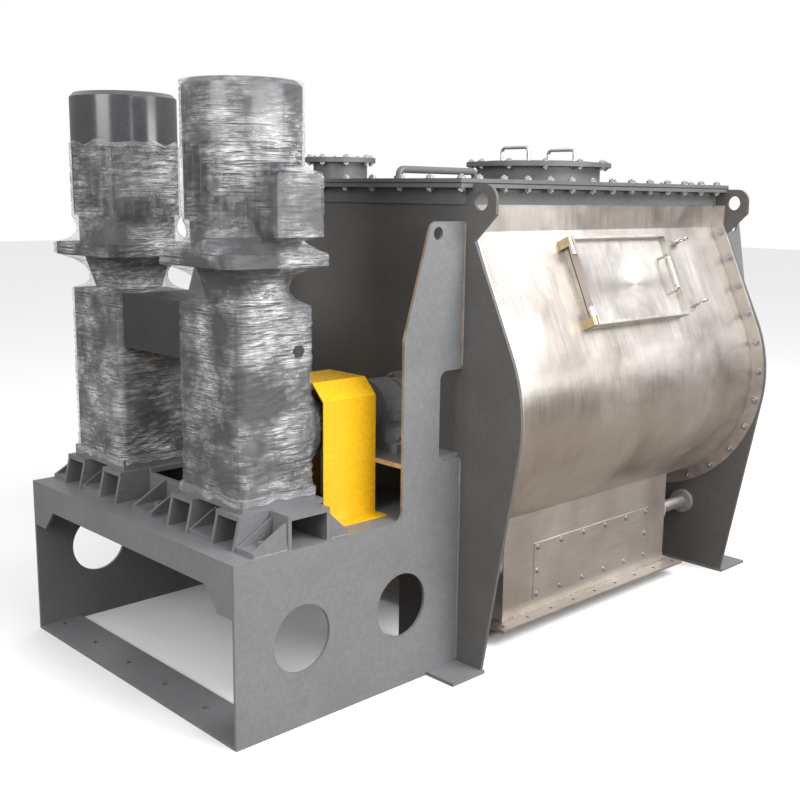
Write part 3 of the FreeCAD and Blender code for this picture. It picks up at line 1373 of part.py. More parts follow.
def cowl():
    """The sheet cap over a fan."""
    wall, rim, crown = "(cowl_radius - cowl_wall)", "(motor_top - cowl_bevel)", "(cowl_radius - cowl_bevel)"
    return turned([(wall, "fin_top"), ("cowl_radius", "fin_top"), ("cowl_radius", rim), (crown, "motor_top"),
                   ("0", "motor_top"), ("0", "motor_top - cowl_wall"), (f"{crown} - 2", "motor_top - cowl_wall"),
                   (wall, f"{rim} - 2")], "Z_Axis")


def guards():
    """Folded sheet covers over the couplings, standing on the deck."""
    both = []
    start = f"({FRONT} + guard_front)"
    for side in SIDES.values():
        y = f"({side} * lobe_spacing)"
        outer = folded("guard_half", "guard_top")
        inner = folded("(guard_half - guard_sheet)", "(guard_top - guard_sheet)")
        hood = place(padded("YZ_Plane", outer, "guard_length"), start, y)
        hollow = place(padded("YZ_Plane", inner, "guard_length + 2"), f"{start} - 1", y)
        feet = [box((start, f"{y} + {low}", "deck_height"), ("guard_length", "guard_foot", "guard_sheet"))
                for low in ("-guard_half - guard_foot", "guard_half")]
        both.append(cut(fuse(hood, *feet), hollow))
    keep(group(*both), "coupling_guards")


def folded(half, top):
    return mirrored([(half, "deck_height"), (half, f"{top} - guard_bevel"), (f"{half} - guard_bevel", top)])


drive_base()
end_plates()
pedestal()
trough()
mouth()
ports()
door()
discharge()
agitators()
bearings()
drives()
motor_ends()
guards()


def export():
    doc.recompute()
    for thing in doc.Objects:
        faults = {"Invalid", "Error"} & set(thing.State)
        if faults:
            raise RuntimeError(f"{thing.Name} ({thing.Label}): {thing.State}")
    os.makedirs("parts", exist_ok=True)
    for node in nodes:
        shape = node.Shape
        if shape.isNull() or not shape.isValid() or not shape.Solids:
            raise RuntimeError(f"{node.Label} has no valid solid")
        shape.exportStep(f"parts/{node.Label}.step")
        print(node.Label, len(shape.Solids), "solids")


export()
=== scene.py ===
# %% [markdown]
# # A twin-shaft ribbon blender
#
# The machine mixes powder in a W-shaped stainless trough. Two vertical gearmotors, still in their
# packing film, turn two shafts that carry helical ribbons. The CAD frame already holds every piece at
# its real size, so this script gives each surface its finish and adds what the frame leaves out:
# weld beads, washers, screws and film.

# %% Load the frame
import math
import random

import bmesh
import bpy
import numpy as np
from mathutils import Matrix, Vector, noise


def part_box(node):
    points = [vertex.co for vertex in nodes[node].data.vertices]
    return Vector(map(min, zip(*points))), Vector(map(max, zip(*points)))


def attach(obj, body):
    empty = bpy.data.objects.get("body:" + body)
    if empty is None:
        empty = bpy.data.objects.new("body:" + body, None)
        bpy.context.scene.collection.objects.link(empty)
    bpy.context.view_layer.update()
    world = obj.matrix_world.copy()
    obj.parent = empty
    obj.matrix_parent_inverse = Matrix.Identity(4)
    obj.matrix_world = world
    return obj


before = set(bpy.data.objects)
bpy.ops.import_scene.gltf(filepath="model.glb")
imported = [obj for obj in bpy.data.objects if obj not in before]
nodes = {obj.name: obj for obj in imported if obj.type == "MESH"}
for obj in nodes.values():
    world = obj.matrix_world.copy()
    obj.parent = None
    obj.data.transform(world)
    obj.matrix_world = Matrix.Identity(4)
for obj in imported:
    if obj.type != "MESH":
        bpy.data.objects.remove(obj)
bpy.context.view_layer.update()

# %% [markdown]
# ## The camera
#
# A machine this long is best seen from a low corner, where the drives, the end plate and the trough's
# side all show. A camera could be aimed with a Track To constraint, but a matrix built from its
# heading, its downward tilt and a small roll says exactly what it is.

# %% Camera
HEADING = math.radians(46.313)          # of the line of sight, from +X towards +Y
DIP = math.radians(10.63)
ROLL = math.radians(0.708)
EYE = Vector((-2.9863, -2.9874, 1.5573))

forward = Vector((math.cos(HEADING) * math.cos(DIP), math.sin(HEADING) * math.cos(DIP), -math.sin(DIP)))
level = Vector((math.sin(HEADING), -math.cos(HEADING), 0))
upright = level.cross(forward)
right = math.cos(ROLL) * level + math.sin(ROLL) * upright
up = math.cos(ROLL) * upright - math.sin(ROLL) * level

lens = bpy.data.cameras.new("camera")
lens.sensor_width = 36
lens.lens = 49.2
camera = bpy.data.objects.new("camera", lens)
camera.matrix_world = Matrix((right, up, -forward)).transposed().to_4x4()
camera.location = EYE
bpy.context.scene.collection.objects.link(camera)
bpy.context.scene.camera = camera

# %% [markdown]
# ## Small helpers for shader trees
#
# A material is a graph. These few functions keep the graphs short to write: one adds a node and sets
# its values, one makes a colour ramp, and one starts a material with its Principled shader.


# %% Shader helpers
def add(tree, kind, **values):
    """A node of this kind. A value goes to the input of that name, or else to the node itself."""
    node = tree.nodes.new("ShaderNode" + kind)
    for name, value in values.items():
        socket = node.inputs.get(name.replace("_", " "))
        if socket is None:
            setattr(node, name, value)
        elif isinstance(value, bpy.types.NodeSocket):
            tree.links.new(value, socket)
        else:
            socket.default_value = value
    return node


def ramp(tree, factor, *stops):
    """A colour ramp with (place, value) stops; a value is a grey or a colour."""
    node = add(tree, "ValToRGB", Fac=factor)
    band = node.color_ramp
    while len(band.elements) < len(stops):
        band.elements.new(0.5)
    for element, (place, value) in zip(band.elements, stops):
        element.position = place
        element.color = (value, value, value, 1) if isinstance(value, (int, float)) else (*value[:3], 1)
    return node.outputs["Color"]


def blend(tree, factor, first, second, mode="MIX"):
    """Mix two colours."""
    node = tree.nodes.new("ShaderNodeMix")
    node.data_type, node.blend_type = "RGBA", mode
    for socket, value in ((node.inputs[0], factor), (node.inputs[6], first), (node.inputs[7], second)):
        if isinstance(value, bpy.types.NodeSocket):
            tree.links.new(value, socket)
        elif isinstance(value, (int, float)):
            socket.default_value = value
        else:
            socket.default_value = (*value[:3], 1)
    return node.outputs[2]


def sums(tree, operation, first, second=0.5, third=None):
    """One arithmetic step."""
    node = add(tree, "Math", operation=operation)
    for socket, value in zip(node.inputs, (first, second, third)):
        if isinstance(value, bpy.types.NodeSocket):
            tree.links.new(value, socket)
        elif value is not None:
            socket.default_value = value
    return node.outputs[0]


def start(name, metallic=0.0, **shader_values):
    """A new material, its tree and its shader."""
    material = bpy.data.materials.new(name)
    material.use_nodes = True
    tree = material.node_tree
    shader = tree.nodes["Principled BSDF"]
    shader.inputs["Metallic"].default_value = metallic
    for key, value in shader_values.items():
        shader.inputs[key.replace("_", " ")].default_value = value
    return material, tree, shader


def group_tree(name, inputs, outputs):
    """An empty node group with these sockets: name to kind, and a default for each input."""
    tree = bpy.data.node_groups.new(name, "ShaderNodeTree")
    for label, (kind, default) in inputs.items():
        socket = tree.interface.new_socket(name=label, in_out="INPUT", socket_type="NodeSocket" + kind)
        socket.default_value = default
    for label, kind in outputs.items():
        tree.interface.new_socket(name=label, in_out="OUTPUT", socket_type="NodeSocket" + kind)
    source, sink = tree.nodes.new("NodeGroupInput"), tree.nodes.new("NodeGroupOutput")
    return tree, source, sink


def placed(tree, group, **values):
    """A copy of a node group inside a material."""
    node = tree.nodes.new("ShaderNodeGroup")
    node.node_tree = group
    for name, value in values.items():
        socket = node.inputs[name.replace("_", " ")]
        if isinstance(value, bpy.types.NodeSocket):
            tree.links.new(value, socket)
        else:
            socket.default_value = (*value, 1) if hasattr(value, "__len__") and len(value) == 3 \
                and socket.type == "RGBA" else value
    return node


# %% [markdown]
# ## Paint, as a shared effect
#
# Shop paint on thick plate is never one flat grey. It has a fine orange peel, wide soft patches where
# the coat is thicker, scuffs from slings and hands, and pale dust. One node group makes all four from
# object coordinates, and each paint then only picks its colours and amounts.

# %% Paint group
def paint_group():
    tree, source, sink = group_tree(
        "shop_paint",
        {"Coat": ("Color", (0.3, 0.3, 0.3, 1)), "Patch": ("Color", (0.25, 0.25, 0.25, 1)),
         "Scuff": ("Color", (0.5, 0.5, 0.5, 1)), "Patch Scale": ("Float", 2.2), "Peel Scale": ("Float", 420.0),
         "Scuff Amount": ("Float", 0.3), "Gloss": ("Float", 0.45)},
        {"Color": "Color", "Roughness": "Float", "Height": "Float"})
    place = add(tree, "TexCoord").outputs["Object"]
    patch = add(tree, "TexNoise", Vector=place, Scale=source.outputs["Patch Scale"], Detail=5.0, Roughness=0.6)
    grain = add(tree, "TexNoise", Vector=place, Scale=70.0, Detail=4.0, Roughness=0.7)
    peel = add(tree, "TexNoise", Vector=place, Scale=source.outputs["Peel Scale"], Detail=2.0)
    flow = add(tree, "Mapping", Vector=place, Rotation=(0.3, 0.5, 0.2), Scale=(9, 9, 60))
    scratch = add(tree, "TexNoise", Vector=flow.outputs[0], Scale=1.6, Detail=8.0, Roughness=0.75)
    soft = ramp(tree, patch.outputs[0], (0.35, 0.0), (0.68, 1.0))
    colour = blend(tree, soft, source.outputs["Coat"], source.outputs["Patch"])
    speck = ramp(tree, grain.outputs[0], (0.3, 0.86), (0.75, 1.1))
    colour = blend(tree, 1.0, colour, speck, "MULTIPLY")
    marks = ramp(tree, scratch.outputs[0], (0.62, 0.0), (0.7, 1.0))
    worn = sums(tree, "MULTIPLY", sums(tree, "MULTIPLY", marks, source.outputs["Scuff Amount"]), soft)
    tree.links.new(blend(tree, worn, colour, source.outputs["Scuff"]), sink.inputs["Color"])
    rough = sums(tree, "MULTIPLY_ADD", grain.outputs[0], 0.25, source.outputs["Gloss"])
    tree.links.new(sums(tree, "MULTIPLY_ADD", worn, 0.3, rough), sink.inputs["Roughness"])
    tree.links.new(sums(tree, "MULTIPLY_ADD", grain.outputs[0], 0.35, peel.outputs[0]), sink.inputs["Height"])
    return tree


PAINT = paint_group()


def painted(name, coat, patch, scuff=(0.6, 0.6, 0.6), amount=0.35, gloss=0.3, peel=420.0, depth=0.0004,
            patch_scale=2.2, coat_weight=0.0):
    """A shop paint, and the tree and shader for anything added to it."""
    material, tree, shader = start(name, Coat_Weight=coat_weight, Coat_Roughness=0.15)
    look = placed(tree, PAINT, Coat=coat, Patch=patch, Scuff=scuff, Scuff_Amount=amount, Gloss=gloss,
                  Peel_Scale=peel, Patch_Scale=patch_scale)
    tree.links.new(look.outputs["Color"], shader.inputs["Base Color"])
    tree.links.new(look.outputs["Roughness"], shader.inputs["Roughness"])
    bump = add(tree, "Bump", Strength=0.35, Distance=depth, Height=look.outputs["Height"])
    tree.links.new(bump.outputs[0], shader.inputs["Normal"])
    return material


def bare_edge(material, colour, lowest):
    """Leave the narrow edges that face the drive end unpainted, above this height."""
    tree = material.node_tree
    shader = tree.nodes["Principled BSDF"]
    painted_colour = shader.inputs["Base Color"].links[0].from_socket
    facing = add(tree, "SeparateXYZ", Vector=add(tree, "NewGeometry").outputs["Normal"])
    height = add(tree, "SeparateXYZ", Vector=add(tree, "TexCoord").outputs["Object"])
    edge = sums(tree, "LESS_THAN", facing.outputs["X"], -0.9)
    above = sums(tree, "GREATER_THAN", height.outputs["Z"], lowest)
    stain = add(tree, "TexNoise", Vector=add(tree, "TexCoord").outputs["Object"], Scale=22.0, Detail=6.0)
    steel = blend(tree, ramp(tree, stain.outputs[0], (0.35, 0.0), (0.65, 1.0)), colour,
                  tuple(0.62 * c for c in colour))
    mask = sums(tree, "MULTIPLY", edge, above)
    tree.links.new(blend(tree, mask, painted_colour, steel), shader.inputs["Base Color"])


# %% [markdown]
# ## Brushed stainless, as a shared effect
#
# Rolled stainless sheet keeps the line of its grinding belt. On the trough the lines run round the
# shell, so the noise is stretched across X and squeezed along it. Over the lines lie the broad
# smears of hands and polish.

# %% Brushed steel group
def brushed_group():
    tree, source, sink = group_tree(
        "brushed_steel",
        {"Light": ("Color", (0.7, 0.68, 0.66, 1)), "Dark": ("Color", (0.45, 0.42, 0.39, 1)),
         "Stretch": ("Vector", (260.0, 5.0, 5.0)), "Smear Scale": ("Float", 2.5), "Gloss": ("Float", 0.25)},
        {"Color": "Color", "Roughness": "Float", "Height": "Float"})
    place = add(tree, "TexCoord").outputs["Object"]
    stretched = tree.nodes.new("ShaderNodeVectorMath")
    stretched.operation = "MULTIPLY"
    tree.links.new(place, stretched.inputs[0])
    tree.links.new(source.outputs["Stretch"], stretched.inputs[1])
    line = add(tree, "TexNoise", Vector=stretched.outputs[0], Scale=1.0, Detail=6.0, Roughness=0.7)
    smear = add(tree, "TexNoise", Vector=place, Scale=source.outputs["Smear Scale"], Detail=7.0, Roughness=0.62,
                Distortion=0.6)
    stain = add(tree, "TexNoise", Vector=place, Scale=11.0, Detail=5.0, Distortion=1.2)
    lines = ramp(tree, line.outputs[0], (0.3, 0.0), (0.7, 1.0))
    smears = ramp(tree, smear.outputs[0], (0.32, 0.0), (0.68, 1.0))
    tone = sums(tree, "MULTIPLY_ADD", lines, 0.45, sums(tree, "MULTIPLY", smears, 0.55))
    colour = blend(tree, tone, source.outputs["Dark"], source.outputs["Light"])
    tree.links.new(colour, sink.inputs["Color"])
    rough = sums(tree, "MULTIPLY_ADD", smears, 0.14, source.outputs["Gloss"])
    rough = sums(tree, "MULTIPLY_ADD", stain.outputs[0], 0.1, rough)
    tree.links.new(sums(tree, "MULTIPLY_ADD", lines, 0.08, rough), sink.inputs["Roughness"])
    tree.links.new(line.outputs[0], sink.inputs["Height"])
    return tree


BRUSHED = brushed_group()


def brushed(name, light, dark, stretch=(260.0, 5.0, 5.0), gloss=0.22, depth=0.00012, smear=2.5, turn=0.0):
    """Brushed steel, with its belt lines square to the direction of the largest stretch."""
    material, tree, shader = start(name, metallic=1.0, Anisotropic=0.45, Anisotropic_Rotation=turn)
    look = placed(tree, BRUSHED, Light=light, Dark=dark, Gloss=gloss, Smear_Scale=smear)
    look.inputs["Stretch"].default_value = stretch
    tree.links.new(look.outputs["Color"], shader.inputs["Base Color"])
    tree.links.new(look.outputs["Roughness"], shader.inputs["Roughness"])
    bump = add(tree, "Bump", Strength=0.3, Distance=depth, Height=look.outputs["Height"])
    tree.links.new(bump.outputs[0], shader.inputs["Normal"])
    return material


# %% [markdown]
# ## The finishes of the frame's nodes
#
# Each CAD node keeps its mesh and only gets a better material. The dictionary names the material
# for each node, in the words of the paint shop.

# %% Materials for the CAD nodes
base_paint = painted("base_paint", (0.205, 0.208, 0.215), (0.165, 0.168, 0.174), (0.42, 0.42, 0.43), 0.5)
# plate_paint is darker and warmer than base_paint: partly the end plates' own coat, partly painted shade of the drive
# end plate's face, which is turned away from the light.
plate_paint = painted("plate_paint", (0.125, 0.122, 0.12), (0.098, 0.092, 0.088), (0.2, 0.18, 0.16), 0.3, 0.34)
lid_paint = painted("lid_paint", (0.15, 0.155, 0.16), (0.115, 0.118, 0.122), (0.3, 0.3, 0.3), 0.4)
pedestal_paint = painted("pedestal_paint", (0.2, 0.203, 0.21), (0.13, 0.132, 0.137), (0.55, 0.55, 0.56), 0.7, 0.25)
bearing_paint = painted("bearing_paint", (0.26, 0.26, 0.26), (0.2, 0.2, 0.2), (0.4, 0.38, 0.35), 0.4, 0.35, 160.0, 0.0012)
casting_paint = painted("casting_paint", (0.05, 0.052, 0.055), (0.03, 0.031, 0.033), (0.13, 0.12, 0.11), 0.5, 0.3,
                        190.0, 0.001)
motor_paint = painted("motor_paint", (0.06, 0.062, 0.066), (0.042, 0.043, 0.047), (0.16, 0.15, 0.14), 0.4, 0.22,
                      380.0, 0.0004)
cowl_paint = painted("cowl_paint", (0.075, 0.078, 0.083), (0.06, 0.062, 0.067), (0.2, 0.2, 0.2), 0.2, 0.1,
                     600.0, 0.0001, coat_weight=0.5)
guard_paint = painted("guard_paint", (0.87, 0.5, 0.012), (0.8, 0.43, 0.008), (0.95, 0.66, 0.12), 0.25, 0.16,
                      520.0, 0.0002, coat_weight=0.35)
shell_steel = brushed("shell_steel", (0.78, 0.74, 0.71), (0.46, 0.4, 0.35))
box_steel = brushed("box_steel", (0.74, 0.71, 0.68), (0.48, 0.44, 0.4), (5.0, 5.0, 190.0), 0.26)
door_steel = brushed("door_steel", (0.7, 0.67, 0.64), (0.52, 0.48, 0.45), (170.0, 4.0, 4.0), 0.24, smear=4.0)
trim_steel = brushed("trim_steel", (0.8, 0.77, 0.72), (0.55, 0.5, 0.44), (40.0, 40.0, 40.0), 0.16)
flange_steel = brushed("flange_steel", (0.62, 0.58, 0.54), (0.42, 0.38, 0.34), (30.0, 30.0, 30.0), 0.36)
zinc = brushed("zinc", (0.5, 0.5, 0.5), (0.3, 0.3, 0.3), (120.0, 120.0, 120.0), 0.3)
brass = brushed("brass", (0.72, 0.6, 0.4), (0.5, 0.4, 0.24), (90.0, 90.0, 90.0), 0.25)
shaft_steel = brushed("shaft_steel", (0.66, 0.66, 0.66), (0.5, 0.5, 0.5), (300.0, 8.0, 8.0), 0.2)
rubber = painted("rubber", (0.02, 0.02, 0.02), (0.014, 0.014, 0.014), (0.06, 0.06, 0.06), 0.2, 0.6)
bare_edge(base_paint, (0.36, 0.27, 0.19), 0.6)
shelf_paint = painted("shelf_paint", (0.2, 0.2, 0.2), (0.15, 0.15, 0.15), (0.3, 0.3, 0.3), 0.3)
bare_edge(shelf_paint, (0.5, 0.36, 0.2), 0.6)

FINISHES = {
    base_paint: ["base_deck", "base_side_front", "base_side_back", "base_cross_plate", "far_gussets",
                 "leg_foot_plates"],
    plate_paint: ["drive_end_plate", "far_end_plate"],
    shelf_paint: ["bearing_shelves"],
    lid_paint: ["mouth_flange", "lid_plate", "inlet_port", "inlet_cover", "manhole_neck", "manhole_cover", "lid_pipe"],
    pedestal_paint: ["gearbox_pedestal", "pedestal_feet", "gearbox_base_plates", "pedestal_bolts"],
    bearing_paint: ["pillow_blocks", "stuffing_boxes", "flap_bearings", "flap_actuators"],
    casting_paint: ["gearbox_front", "gearbox_back", "sync_gear_case", "coupling_front", "coupling_back"],
    motor_paint: ["motor_front", "motor_back", "terminal_boxes"],
    cowl_paint: ["fan_cowls"],
    guard_paint: ["coupling_guards"],
    shell_steel: ["trough_shell"],
    box_steel: ["discharge_box", "access_cover", "discharge_flap_front", "discharge_flap_back"],
    door_steel: ["door_panel"],
    trim_steel: ["door_frame", "manhole_handles", "door_handle", "eye_screw_top", "eye_screw_bottom"],
    flange_steel: ["shell_flanges", "discharge_flange"],
    zinc: ["shell_flange_bolts", "lid_bolts", "cover_bolts"],
    brass: ["door_hinges"],
    shaft_steel: ["agitator_shaft_front", "agitator_shaft_back", "ribbon_front", "ribbon_back", "sync_shaft"],
    rubber: ["lid_gasket", "door_gasket", "fan_front", "fan_back"],
}


def dress(material, names):
    """Give these CAD nodes a material."""
    for name in names:
        mesh = nodes[name].data
        mesh.materials.clear()
        mesh.materials.append(material)


for material, names in FINISHES.items():
    dress(material, names)
plain = sorted(set(nodes) - {name for names in FINISHES.values() for name in names})
print("nodes without a finish:", plain)

# %% [markdown]
# ## Light and floor
#
# Stainless shows what stands round it, so the room matters more than any lamp. The camera sees a
# white studio, but everything else sees a hall: bright roof lights, dim walls and a brown floor.
# A Light Path node tells the two apart. That is what darkens the lower half of the trough.

# %% Floor, world and lamps
view = bpy.context.scene.view_settings
view.view_transform, view.look = "Standard", "None"

bpy.ops.mesh.primitive_plane_add(size=60, location=(0, 0, 0))
floor = bpy.context.object
floor.name = "floor"
floor_material, floor_tree, floor_shader = start("floor_white", Roughness=0.7)
seen = add(floor_tree, "LightPath").outputs["Is Camera Ray"]
floor_tree.links.new(blend(floor_tree, seen, (0.2, 0.175, 0.15), (0.95, 0.95, 0.95)),
                     floor_shader.inputs["Base Color"])
floor.data.materials.append(floor_material)

world = bpy.data.worlds.new("studio")
bpy.context.scene.world = world
world.use_nodes = True
sky = world.node_tree
aim = add(sky, "SeparateXYZ", Vector=add(sky, "TexCoord").outputs["Generated"])
hall = ramp(sky, sums(sky, "MULTIPLY_ADD", aim.outputs["Z"], 0.5, 0.5), (0.48, (0.1, 0.085, 0.07)),
            (0.53, (0.3, 0.29, 0.28)), (0.66, (0.55, 0.56, 0.58)), (0.8, (1.0, 1.0, 1.0)))
shown = add(sky, "LightPath").outputs["Is Camera Ray"]
sky.links.new(blend(sky, shown, hall, (1.0, 1.0, 1.0)), sky.nodes["Background"].inputs["Color"])
sky.nodes["Background"].inputs["Strength"].default_value = 1.0


def panel(name, place, target, size, power):
    """A rectangular studio light that looks at a point."""
    lamp = bpy.data.lights.new(name, "AREA")
    lamp.shape, lamp.size, lamp.size_y = "RECTANGLE", *size
    lamp.energy = power
    thing = bpy.data.objects.new(name, lamp)
    thing.location = place
    thing.rotation_euler = (Vector(target) - Vector(place)).to_track_quat("-Z", "Y").to_euler()
    bpy.context.scene.collection.objects.link(thing)


panel("key", (1.0, -5.0, 5.2), (0, 0, 0.8), (4, 3), 420)
panel("strip", (0.2, -4.2, 1.9), (0.2, -0.6, 1.0), (5, 0.5), 90)
panel("end", (-5.5, -1.0, 3.0), (-1.0, 0, 0.9), (2.5, 2.5), 130)

# %% [markdown]
# ## Fasteners
#
# The frame holds hexagon nuts. Here each gets a washer under it and a stud end on top. The nuts are
# found as the loose islands of the node's mesh, and the shortest side of an island is its axis.


# %% Washers and studs
def islands(mesh):
    """The lowest and highest corner of each loose part."""
    parent = list(range(len(mesh.vertices)))

    def root(i):
        while parent[i] != i:
            parent[i] = parent[parent[i]]
            i = parent[i]
        return i

    places = {}
    for vertex in mesh.vertices:                       # an exported mesh splits its sharp corners
        key = tuple(round(c, 5) for c in vertex.co)
        parent[root(vertex.index)] = root(places.setdefault(key, vertex.index))
    for edge in mesh.edges:
        parent[root(edge.vertices[0])] = root(edge.vertices[1])
    groups = {}
    for vertex in mesh.vertices:
        groups.setdefault(root(vertex.index), []).append(vertex.co)
    for spots in groups.values():
        yield [Vector(f(co[k] for co in spots) for k in range(3)) for f in (min, max)]


def disc(mesh, centre, axis, profile, sides=20):
    """A turned solid from (distance along the axis, radius) pairs; its ends are closed."""
    first = axis.orthogonal().normalized()
    second = axis.cross(first)
    rings = []
    for along, radius in profile:
        rings.append([mesh.verts.new(centre + along * axis + radius * (math.cos(t) * first + math.sin(t) * second))
                      for t in (2 * math.pi * i / sides for i in range(sides))])
    for low, high in zip(rings, rings[1:]):
        for i in range(sides):
            mesh.faces.new((low[i], low[(i + 1) % sides], high[(i + 1) % sides], high[i]))
    mesh.faces.new(rings[-1])
    mesh.faces.new(rings[0][::-1])


def piece(name, mesh, material, body, smooth=True):
    """Turn a bmesh into an object that rides on a body."""
    data = bpy.data.meshes.new(name)
    bmesh.ops.recalc_face_normals(mesh, faces=mesh.faces)
    mesh.to_mesh(data)
    mesh.free()
    for face in data.polygons:
        face.use_smooth = smooth
    if smooth:
        data.set_sharp_from_angle(angle=math.radians(35))
    data.materials.append(material)
    thing = bpy.data.objects.new(name, data)
    bpy.context.scene.collection.objects.link(thing)
    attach(thing, body)
    return thing


def outward(node, low, high):
    """The way a nut's free end points, and how high it stands."""
    size = high - low
    k = min(range(3), key=lambda i: size[i])
    axis = Vector((0, 0, 0))
    middle = (low + high) / 2
    if k == 2:
        axis.z = 1 if middle.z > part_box("lid_plate")[0].z and not below_flange(middle) else -1
    elif k == 0:
        axis.x = 1 if middle.x < 0.3 else -1
    else:
        axis.y = -1
    return middle, axis, size[k]


def below_flange(spot):
    """True for the nuts on the underside of a port's flange."""
    return any(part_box(port)[1].z - 0.025 < spot.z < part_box(port)[1].z for port in ("inlet_port", "manhole_neck"))


for name in ("lid_bolts", "shell_flange_bolts", "cover_bolts"):
    mesh = bmesh.new()
    for low, high in islands(nodes[name].data):
        middle, axis, height = outward(name, low, high)
        flats = sorted(high - low)[1]
        base, top = -height / 2, height / 2
        disc(mesh, middle, axis, ((base + 0.0002, 0.48 * flats), (base + 0.0002, 0.72 * flats),
                                  (base + 0.0016, 0.72 * flats), (base + 0.0022, 0.66 * flats),
                                  (base + 0.0022, 0.48 * flats)))
        disc(mesh, middle, axis, ((top - 0.001, 0.27 * flats), (top + 0.003, 0.27 * flats),
                                  (top + 0.0045, 0.2 * flats)), 14)
    piece(name + "_washers", mesh, zinc, "machine")


def hexagon(mesh, centre, axis, flats, height):
    """A hexagon head with a chamfered crown, on a washer."""
    radius = flats / math.sqrt(3)
    disc(mesh, centre, axis, ((0.0002, 0.5 * flats), (0.0002, 0.72 * flats), (0.002, 0.72 * flats)), 20)
    disc(mesh, centre, axis, ((0.002, radius), (height - 0.0015, radius), (height, 0.82 * radius)), 6)


mesh = bmesh.new()
for low, high in islands(nodes["pillow_blocks"].data):
    middle_x, middle_y = (low.x + high.x) / 2, (low.y + high.y) / 2
    for end in (-1, 1):
        foot = Vector((middle_x, middle_y + end * 0.128, low.z + 0.030))
        hexagon(mesh, foot, Vector((0, 0, 1)), 0.024, 0.014)
for low, high in islands(nodes["stuffing_boxes"].data):
    middle = (low + high) / 2
    flange = high.y - low.y > 0.2
    away = -1 if middle.x < 0 else 1
    face = (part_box("drive_end_plate")[0].x - 0.015) if away < 0 else (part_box("far_end_plate")[1].x + 0.015)
    if not flange:
        face = low.x if away < 0 else high.x
    radius, count = (0.108, 8) if flange else (0.076, 4)
    for i in range(count):
        turn = 2 * math.pi * (i + 0.5) / count
        spot = Vector((face, middle.y + radius * math.cos(turn), middle.z + radius * math.sin(turn)))
        hexagon(mesh, spot, Vector((away, 0, 0)), 0.015, 0.009)
piece("bearing_bolts", mesh, zinc, "machine")

# %% [markdown]
# ## Weld beads
#
# A bead is a tube whose radius ripples where each droplet froze. Each one runs along an inside corner
# between two plates and is left unground.


# %% Welds
def bead(mesh, start, end, radius, seed):
    """A rippled bead from one point to another."""
    line = end - start
    axis = line.normalized()
    first = axis.orthogonal().normalized()
    second = axis.cross(first)
    count = max(4, int(line.length / 0.004))
    rings = []
    for k in range(count + 1):
        ripple = 1 + 0.22 * abs(math.sin(1.55 * k)) + 0.25 * noise.noise(Vector((k * 0.3, seed, 0)))
        shift = 0.0012 * noise.noise(Vector((k * 0.11, seed, 5))) * first
        rings.append([mesh.verts.new(start + line * k / count + shift + radius * ripple
                                     * (math.cos(t) * first + math.sin(t) * second))
                      for t in (2 * math.pi * i / 8 for i in range(8))])
    for low, high in zip(rings, rings[1:]):
        for i in range(8):
            mesh.faces.new((low[i], low[(i + 1) % 8], high[(i + 1) % 8], high[i]))
    mesh.faces.new(rings[0][::-1])
    mesh.faces.new(rings[-1])


mesh = bmesh.new()
plate_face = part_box("drive_end_plate")[0].x
far_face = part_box("far_end_plate")[1].x
deck_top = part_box("base_deck")[1].z
panel_low, panel_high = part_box("base_side_front")
for side in (-1, 1):
    y = side * (abs(panel_low.y) + 0.001)
    for x in (plate_face - 0.001, far_face + 0.001):
        for low, high in ((0.02, 0.705), (1.02, panel_high.z - 0.004)):
            bead(mesh, Vector((x, y, low)), Vector((x, y, high)), 0.0035, 10 * side + x)
stub_low, stub_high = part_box("gearbox_pedestal")
for low, high in islands(nodes["pedestal_feet"].data):
    for y in (low.y, high.y):
        bead(mesh, Vector((low.x + 0.004, y, deck_top + 0.001)), Vector((high.x - 0.004, y, deck_top + 0.001)),
             0.0028, y)
chute_low, chute_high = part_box("discharge_box")
piece("weld_beads", mesh, base_paint, "machine")

mesh = bmesh.new()
flange_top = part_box("discharge_flange")[1].z
for k in range(27):
    x = chute_low.x + 0.02 + k * (chute_high.x - chute_low.x - 0.04) / 26
    bead(mesh, Vector((x, chute_low.y - 0.0015, flange_top + 0.001)),
         Vector((x + 0.022, chute_low.y - 0.0015, flange_top + 0.001)), 0.003, k)
piece("flange_welds", mesh, trim_steel, "machine")

# %% [markdown]
# ## Packing film
#
# Each gearmotor is wound in clear stretch film. The film is a net of radii about the motor's axis.
# It starts on the outline of the parts, is then pulled straight like a skin under tension, and never
# sinks below the outline again. Folds come last: fine ridges that run with the winding.

# %% Film shape
AXIS_X = (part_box("gearbox_base_plates")[0].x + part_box("gearbox_base_plates")[1].x) / 2 + 0.003
ROUND, STEPS = 240, 300


def box_ray(angle, half_x, half_y):
    """How far a rectangle's edge lies from its middle in this direction."""
    c, s = abs(math.cos(angle)), abs(math.sin(angle))
    edge = min(half_x / c if c > 1e-6 else 9, half_y / s if s > 1e-6 else 9)
    return min(edge, 0.955 * math.hypot(half_x, half_y))


